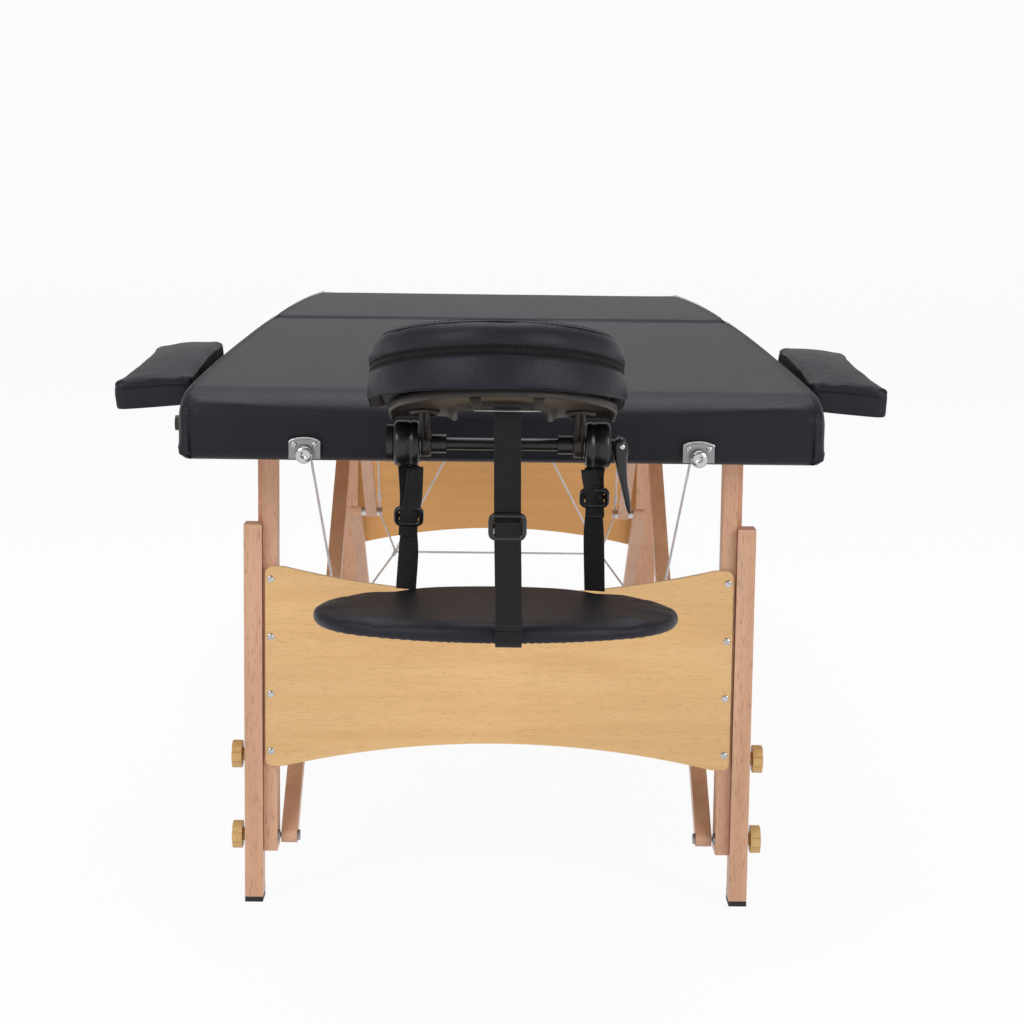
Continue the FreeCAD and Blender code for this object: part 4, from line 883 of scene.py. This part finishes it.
def straps():
    """The shelf's front strap, its two side straps and their sliders."""
    web, buckles, drop = Build(), Build(), Build()
    front = bend([(0.0040, -1.0430, 0.6085), (0.0040, -1.0456, 0.5900), (0.0045, -1.0440, 0.550),
                  (0.0050, -1.0415, 0.505), (0.0060, -1.0365, 0.460), (0.0068, -1.0330, 0.425),
                  (0.0072, -1.0305, 0.404), (0.0073, -1.0295, 0.394), (0.0073, -1.0282, 0.3862),
                  (0.0073, -1.0230, 0.3838), (0.0073, -1.0110, 0.3835)])
    lap = bend([(0.0052, -1.0448, 0.5030), (0.0056, -1.0415, 0.475), (0.0066, -1.0364, 0.440),
                (0.0070, -1.0340, 0.415), (0.0073, -1.0325, 0.4040)])
    hem = bend([(0.0073, -1.0322, 0.4150), (0.0074, -1.0316, 0.4065), (0.0074, -1.0312, 0.4005)])
    for build, line, width, thick in ((drop, front, 0.0246, 0.0018), (web, lap, 0.0240, 0.0018),
                                      (web, hem, 0.0252, 0.0030)):
        ribbon(build, line, np.tile([1.0, 0, 0], (len(line), 1)), width, thick)
    slider(buckles, (0.0050, -1.0428, 0.4990), (0, 0.06, -1.0), 0.0330)

    def hang(z):
        """How far back a side strap is at a height."""
        return -0.8965 + (0.536 - z) / 0.1333 * 0.053

    for sign, grip in ((-1, 0.4815), (1, 0.5030)):
        x = 0.0905 * sign
        main = bend([(x, hang(0.536), 0.5340), (x - 0.0012 * sign, hang(grip + 0.022), grip + 0.022),
                     (x + 0.0005 * sign, hang(grip), grip), (x + 0.001 * sign, hang(grip - 0.035), grip - 0.035),
                     (0.0945 * sign, hang(0.4030), 0.4030)])
        sway = (main[:, 2] - grip) / 0.02
        twist = np.stack([np.ones(len(main)), 0.35 * np.tanh(sway), np.zeros(len(main))], 1)
        ribbon(web, main, twist, 0.0212 - 0.0045 * np.exp(-(sway + 0.5) ** 2))
        loop = bend([(x - 0.007 * sign, hang(0.536) - 0.008, 0.5335),
                     (x - 0.004 * sign, hang(grip + 0.018) - 0.006, grip + 0.018),
                     (x, hang(grip) - 0.0025, grip + 0.001),
                     (x + 0.0015 * sign, hang(grip - 0.02) - 0.002, grip - 0.020)])
        turn = np.linspace(0.7, 0.0, len(loop))
        ribbon(web, loop, np.stack([np.cos(turn), np.sin(turn), 0 * turn], 1), 0.0185)
        slider(buckles, (x + 0.0004 * sign, hang(grip) - 0.0015, grip), (0, 0.40, -1.0), 0.0275, 0.0205)
    cover = web.done("shelf_webbing", "hanging_shelf", "webbing", STRAP)
    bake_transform(drop.done("front_shelf_strap", None, "webbing", STRAP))
    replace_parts(cover, "shelf_straps")
    buckles.done("shelf_strap_sliders", "hanging_shelf", "plastic", TUBE)


straps()


# ---------------------------------------------------------------- screws and small hardware
def screw(build, centre, radius=0.0042, height=0.0019, facing=-1, turn=0.3):
    """A domed cross-head screw that faces along y."""
    cx, cy, cz = centre
    rings = []
    for share in (1.0, 0.97, 0.9, 0.78, 0.62, 0.5, 0.40, 0.30, 0.2, 0.1):
        row = []
        for a in np.linspace(0, TAU, 48, endpoint=False):
            rise = height * math.sqrt(max(0.0, 1 - share * share))
            u, v = share * math.cos(a - turn), share * math.sin(a - turn)
            if (abs(u) < 0.13 and abs(v) < 0.56) or (abs(v) < 0.13 and abs(u) < 0.56):
                rise -= height * 0.55
            row.append((cx + radius * share * math.cos(a), cy + facing * rise,
                        cz + radius * share * math.sin(a)))
        rings.append(row)
    foot = [(cx + radius * math.cos(a), cy - facing * 0.0004, cz + radius * math.sin(a))
            for a in np.linspace(0, TAU, 48, endpoint=False)]
    points = np.array([foot] + rings)
    build.grid(points if facing < 0 else points[:, ::-1], round_columns=True, caps=True)


for end, y, facing in (("head", -0.6195, -1), ("foot", 0.8845, 1)):
    screws = Build()
    for sign in (-1, 1):
        for k in range(4):
            screw(screws, (sign * 0.253, y, 0.174 + 0.065 * k), facing=facing, turn=0.4 + 0.9 * k + sign)
    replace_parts(screws.done(end + "_panel_cross_screws", end + "_legs", "steel", BRIGHT), end + "_panel_screws")

LATCH_X = 0.200
STUD_END = [(0, 0.0086), (0.0006, 0.0084), (0.0014, 0.0074), (0.0020, 0.0058), (0.0023, 0.0040), (0.0020, 0.0032),
            (0.0013, 0.0028), (0.0012, 0.0010)]
latch = Build()
for x in (-LATCH_X, LATCH_X):
    for side in (-1, 1):
        screw(latch, (x + side * 0.0105, -0.7995, 0.5415), 0.0030, 0.0013, -1, 0.5 + side)
    latch.tube([(x + 0.0158 * math.sin(a), -0.8002, 0.5435 + 0.0048 * math.cos(a))
                for a in np.linspace(-1.5, 1.5, 17)], 0.0011, 8)
    latch.lathe((x, -0.8065, 0.532), (0, -1, 0), STUD_END, 32)
latch.done("latch_plate_trim", "head_half", "steel", BRIGHT)

# Knuckles of the cradle, its plate with the arms, and the frame that the front strap hangs from
DRUM = [(0.0016, 0.0090), (0.0016, 0.0150), (0.0, 0.0160), (0.0, 0.0196), (0.0010, 0.0213), (0.0026, 0.0221),
        (0.0072, 0.0221), (0.0080, 0.0213), (0.0096, 0.0213), (0.0104, 0.0221), (0.0208, 0.0221), (0.0230, 0.0212),
        (0.0244, 0.0192), (0.0247, 0.0160), (0.0236, 0.0150), (0.0236, 0.0090)]
WASHER = [(0, 0.0088), (0, 0.0126), (0.0005, 0.0131), (0.0011, 0.0126), (0.0011, 0.0088)]
knuckles, washers = Build(), Build()
for sign in (-1, 1):
    knuckles.lathe((0.0801 * sign, CRADLE_Y, CRADLE_Z), (sign, 0, 0), DRUM, 64)
    for x in (0.0785, 0.1038):
        washers.lathe((x * sign, CRADLE_Y, CRADLE_Z), (sign, 0, 0), WASHER, 48)
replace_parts(knuckles.done("cradle_knuckle_drums", "cradle_base", "plastic", GLOSS), "cradle_knuckles")
washers.done("knuckle_washers", "cradle_base", "steel", STEEL)


def cradle_plate():
    """Moulded horseshoe plate: a rim round both edges of its underside and two arms down to the rod."""
    section = np.array([
        (31.2, 29.5), (32.6, 28.6), (33.2, 27.0), (33.4, 22.4), (32.8, 20.8), (31.2, 20.1), (29.2, 20.4),
        (28.2, 22.4), (25.0, 23.6), (14.0, 24.2), (2.0, 24.4), (-12.0, 24.2), (-21.0, 23.6), (-24.6, 22.2),
        (-26.0, 20.2), (-28.6, 19.6), (-31.0, 20.4), (-31.8, 22.6), (-31.8, 28.4), (-31.0, 29.5),
        (-16.0, 29.55), (0.0, 29.55), (16.0, 29.55)])
    plan = even(horseshoe(74.5, 40.0, 3.0), 3.0)
    outward = sideways(plan)
    rings = [np.stack([c[0] + n[0] * section[:, 0], c[1] + n[1] * section[:, 0], section[:, 1]], 1)
             for c, n in zip(plan, outward)]
    plate = Build()
    plate.grid(cradle(rings), round_columns=True, caps=True)
    up = cradle([0, 0, 1000]) - cradle([0, 0, 0])
    for sign in (-1, 1):
        middle = sign * 74
        plate.lathe(cradle([middle, -48, 24.0]), -up, [(-0.0002, 0.0150), (0.0022, 0.0142), (0.0036, 0.0128),
                                                       (0.0036, 0.0112), (0.0012, 0.0098)], 40)
        for x in (middle - 2.6, middle + 2.6):
            plate.tube(bend(cradle([(x, -50, 24), (x, -40, 15), (x, -24, 7), (x, -9, 2)])), 0.0024, 10)
        plate.lathe((sign * 0.0689, CRADLE_Y, CRADLE_Z), (sign, 0, 0),
                    [(0, 0.0068), (0, 0.0118), (0.0008, 0.0126), (0.0084, 0.0126), (0.0092, 0.0118),
                     (0.0092, 0.0068)], 40)
    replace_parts(plate.done("cradle_plate_shell", "face_cradle", "plastic", PLASTIC), "cradle_plate")

    frame_bar, mid = Build(), 3.5
    ear = ((23.5, 23.0), (34.5, 23.0), (33.8, 18.0), (30.6, 9.6), (27.5, 8.6), (24.2, 9.4), (23.7, 16.0))
    for sign in (-1, 1):
        ends = [[(mid + sign * x, y, w) for x, w in ear] for y in (-153.5, -147.0)]
        frame_bar.grid(cradle(ends), round_columns=True, caps=True)
    across_bar = ((-153.2, 8.6), (-152.6, 11.2), (-148.0, 11.4), (-147.4, 8.8), (-150.2, 8.0))
    bar = [[(mid + x, y, w) for y, w in across_bar] for x in (-29.5, -14.0, 0.0, 14.0, 29.5)]
    frame_bar.grid(cradle(bar), round_columns=True, caps=True)
    tidy(frame_bar.done("strap_frame", "face_cradle", "plastic", PLASTIC, smooth=False), 30, 0.0006)
    lip = Build()
    lip.tube(cradle([(mid - 30.2, -153.2, 9.0), (mid, -153.4, 8.6), (mid + 30.2, -153.2, 9.0)]), 0.0007, 8)
    lip.done("strap_frame_edge", "face_cradle", "steel", STEEL)


cradle_plate()


def clamp_lever():
    """The cam lever: a forked boss that narrows into a thin blade, bent a little outwards."""
    x0, y0, z0 = 0.114, CRADLE_Y, CRADLE_Z
    spine = bend([(0, 0, 0.0082), (0, 0, 0.0), (0.0006, 0, -0.012), (0.0030, 0, -0.030), (0.0070, 0, -0.050),
                  (0.0098, 0, -0.0655)])
    depth = -spine[:, 2]
    thick = np.interp(depth, (-0.0082, -0.006, -0.002, 0.004, 0.014, 0.035, 0.058, 0.0655),
                      (0.0040, 0.0115, 0.0158, 0.0162, 0.0120, 0.0078, 0.0058, 0.0026))
    wide = np.interp(depth, (-0.0082, -0.006, 0.006, 0.030, 0.055, 0.0655),
                     (0.0240, 0.0270, 0.0275, 0.0250, 0.0200, 0.0120))
    turn = np.linspace(0, TAU, 28, endpoint=False)
    rings = []
    for c, t, w in zip(spine, thick, wide):
        u = np.sign(np.cos(turn)) * np.abs(np.cos(turn)) ** 0.55 * t / 2
        v = np.sign(np.sin(turn)) * np.abs(np.sin(turn)) ** 0.45 * w / 2
        rings.append(np.stack([x0 + c[0] + u, y0 + v, np.full(28, z0 + c[2])], 1))
    blade = Build()
    blade.grid(np.array(rings)[::-1], round_columns=True, caps=True)
    thing = blade.done("cam_lever_blade", "clamp_lever", "black_tube", TUBE)
    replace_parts(thing, "cam_lever")
    pin = Build()
    pin.lathe((x0 + 0.0012, y0 - 0.0136, z0 + 0.0004), (0, -1, 0),
              [(0, 0.0028), (0.0006, 0.0028), (0.0012, 0.0022), (0.0014, 0.0008)], 24)
    pin.done("lever_pin_end", "clamp_lever", "steel", BRIGHT)


clamp_lever()


# ---------------------------------------------------------------- stay and web cables
CRIMP = [(0, 0.0018), (0.0006, 0.0027), (0.0154, 0.0027), (0.016, 0.0018)]


def cable_set(name, body, node, runs):
    """Coated wire ropes, each from a to b with a crimp sleeve at these shares of its length."""
    build = Build()
    for a, b, shares in runs:
        build.tube(np.linspace(a, b, 24), 0.0015, 10)
        way = unit(b - a)
        for share in shares:
            build.lathe(a + (b - a) * share - way * 0.008, way, CRIMP, 16)
    thing = build.done(name, body, "cable", SLEEVE)
    if node:
        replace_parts(thing, node)
    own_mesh(thing)


def across(point):
    """The same point on the other half."""
    return np.array([point[0], 2 * FOLD_Y - point[1], point[2]])


PIVOT = np.array([0.2190, -0.5938, 0.5497])
ELBOW = np.array([0.1952, -0.3390, 0.2600])
GRIP = np.array([0.1950, -0.3283, 0.2560])
JUNCTION = np.array([0.148, FOLD_Y, 0.270])
APEX = np.array([0.014, 0.1146, 0.5275])
HALVES = ("head", "foot")
stays, web = {half: [] for half in HALVES}, {half: [] for half in HALVES}
for half in HALVES:
    for sign in (-1, 1):
        pivot, elbow, grip = (point * (sign, 1, 1) for point in (PIVOT, ELBOW, GRIP))
        middle, apex = JUNCTION * (sign, 1, 1), APEX * (sign, 1, 1)
        if half == "head":
            web[half].append((middle, apex, (0.05,)))
        else:
            pivot, elbow, grip = across(pivot), across(elbow), across(grip)
        stays[half].append((pivot, elbow, (0.05, 0.94)))
        web[half].append((middle, grip, (0.03, 0.95)))
for half in HALVES:
    cable_set(half + "_stay_cables", half + "_half", half + "_cables", stays[half])
cable_set("web_wire_cables", "fold_pins", "web_cables", [(JUNCTION * (-1, 1, 1), JUNCTION, ())])
for half in HALVES:
    cable_set(half + "_web_wires", half + "_half", None, web[half])


# ---------------------------------------------------------------- finishes of the CAD pieces
FINISH = {
    "frame": (BEECH_Y, 0.0015), "deck": (DECK, 0), "hinges": (STEEL, 0.0004), "latch_studs": (STEEL, 0.0004),
    "glides": (PLASTIC, 0.0015), "handle": (PLASTIC, 0.002), "posts": (BEECH_Z, 0.0016),
    "panel": (BOARD_X, 0.0008), "leg_bolts": (STEEL, 0.0003), "elbow_bolts": (BRIGHT, 0.0005),
    "leg": (BEECH_Z, 0.0016), "foot": (RUBBER, 0.0012), "knob_low": (KNOB, 0.0012), "knob_high": (KNOB, 0.0012),
}
OTHER = {
    "hinge_pins": (STEEL, 0.0003), "cradle_rods": (GLOSS, 0.0006), "armrest_pegs_right": (STEEL, 0.0004),
    "armrest_pegs_left": (STEEL, 0.0004), "latch_hook_right": (STEEL, 0.0005), "latch_hook_left": (STEEL, 0.0005),
    "foot_panel": (BOARD_SHADED_FAR, 0.0008),
    "head_upper_braces": (BEECH_HEAD, 0.0014), "head_lower_braces": (BEECH_HEAD, 0.0014),
    "foot_upper_braces": (BEECH_FOOT, 0.0014), "foot_lower_braces": (BEECH_FOOT, 0.0014),
}
for name, node in nodes.items():
    plain = name.replace("head_", "").replace("foot_", "", 1) if name.startswith(("head_", "foot_")) else name
    plain = plain.replace("right_", "").replace("left_", "")
    if name.endswith("_foot"):
        plain = "foot"
    finish = OTHER.get(name) or FINISH.get(plain)
    if finish is None:
        continue
    node.data.materials.clear()
    node.data.materials.append(finish[0])
    tidy(node, 38, finish[1])

# ---------------------------------------------------------------- stage
floor_mesh = bpy.data.meshes.new("studio_floor")
turn = np.radians(np.linspace(0, 90, 14))
strip = [(-9.0, 0.0)] + [(8.6 + 1.4 * math.sin(a), 1.4 - 1.4 * math.cos(a)) for a in turn] + [(10.0, 2.3)]
floor_mesh.from_pydata([(x, y, z - 0.0002) for y, z in strip for x in (-12, 12)], [], weave(len(strip), 2))
floor_mesh.polygons.foreach_set("use_smooth", np.full(len(floor_mesh.polygons), True))
floor = bpy.data.objects.new("studio_floor", floor_mesh)
scene.collection.objects.link(floor)
paper = Shader("studio_paper", roughness=0.9, specular_ior_level=0.1)
paper.colour(paper.ramp(paper.noise(paper.coords(), 3, 2), (0.3, (0.93, 0.93, 0.93)),
                        (0.7, (0.95, 0.95, 0.95))))


def seen(tree):
    """1 for a ray that shows the background: straight from the camera, mirrored or seen through glass."""
    ray = tree.nodes.new("ShaderNodeLightPath")
    total = ray.outputs["Is Camera Ray"]
    for name in ("Is Glossy Ray", "Is Transmission Ray"):
        made = tree.nodes.new("ShaderNodeMath")
        made.operation = "MAXIMUM"
        tree.links.new(total, made.inputs[0])
        tree.links.new(ray.outputs[name], made.inputs[1])
        total = made.outputs[0]
    return total


glow = paper.node("Emission")
glow.inputs["Strength"].default_value = 1.0
blank = paper.node("MixShader")
paper.link(paper.maths("MULTIPLY", seen(paper.tree), 0.93), blank.inputs[0])
paper.link(paper.bsdf.outputs[0], blank.inputs[1])
paper.link(glow.outputs[0], blank.inputs[2])
paper.link(blank.outputs[0], paper.tree.nodes["Material Output"].inputs["Surface"])
floor_mesh.materials.append(paper.material)

world = bpy.data.worlds.new("studio")
world.use_nodes = True
tree = world.node_tree
height = tree.nodes.new("ShaderNodeSeparateXYZ")
tree.links.new(tree.nodes.new("ShaderNodeTexCoord").outputs["Generated"], height.inputs[0])
dome = tree.nodes.new("ShaderNodeValToRGB")
dome.color_ramp.elements[0].color = (1.0, 1.0, 1.0, 1)
dome.color_ramp.elements[0].position = 0.09
dome.color_ramp.elements[1].color = (0.30, 0.30, 0.31, 1)
dome.color_ramp.elements[1].position = 0.36
tree.links.new(height.outputs["Z"], dome.inputs["Fac"])
tree.links.new(dome.outputs["Color"], tree.nodes["Background"].inputs["Color"])
scene.world = world


def softbox(name, spot, aim, size, watts):
    light = bpy.data.lights.new(name, "AREA")
    light.shape = "RECTANGLE"
    light.size, light.size_y = size
    light.energy = watts
    thing = bpy.data.objects.new(name, light)
    scene.collection.objects.link(thing)
    thing.location = spot
    thing.rotation_euler = (Vector(aim) - Vector(spot)).to_track_quat("-Z", "Y").to_euler()
    return thing


lamps = [
    softbox("key_softbox", (-2.6, -3.6, 3.2), (0, -0.4, 0.4), (2.2, 1.8), 78),
    softbox("fill_softbox", (2.8, -3.4, 2.2), (0, -0.4, 0.4), (2.0, 1.8), 64),
    softbox("top_softbox", (0, 0.6, 3.6), (0, 0.1, 0.5), (2.6, 3.2), 64),
]

lens = bpy.data.cameras.new("photo_view")
lens.lens = 77.61
lens.sensor_width = 36
lens.shift_x = 0.0096
lens.shift_y = -0.0413
camera = bpy.data.objects.new("photo_view", lens)
scene.collection.objects.link(camera)
camera.matrix_world = (Matrix.Translation((-0.0095, -3.0202, 0.8198)) @ Matrix.Rotation(-0.0046, 4, "Z")
                       @ Matrix.Rotation(math.radians(90 - 7.735), 4, "X") @ Matrix.Rotation(0.0116, 4, "Z"))
scene.camera = camera
scene.view_settings.view_transform = "Standard"
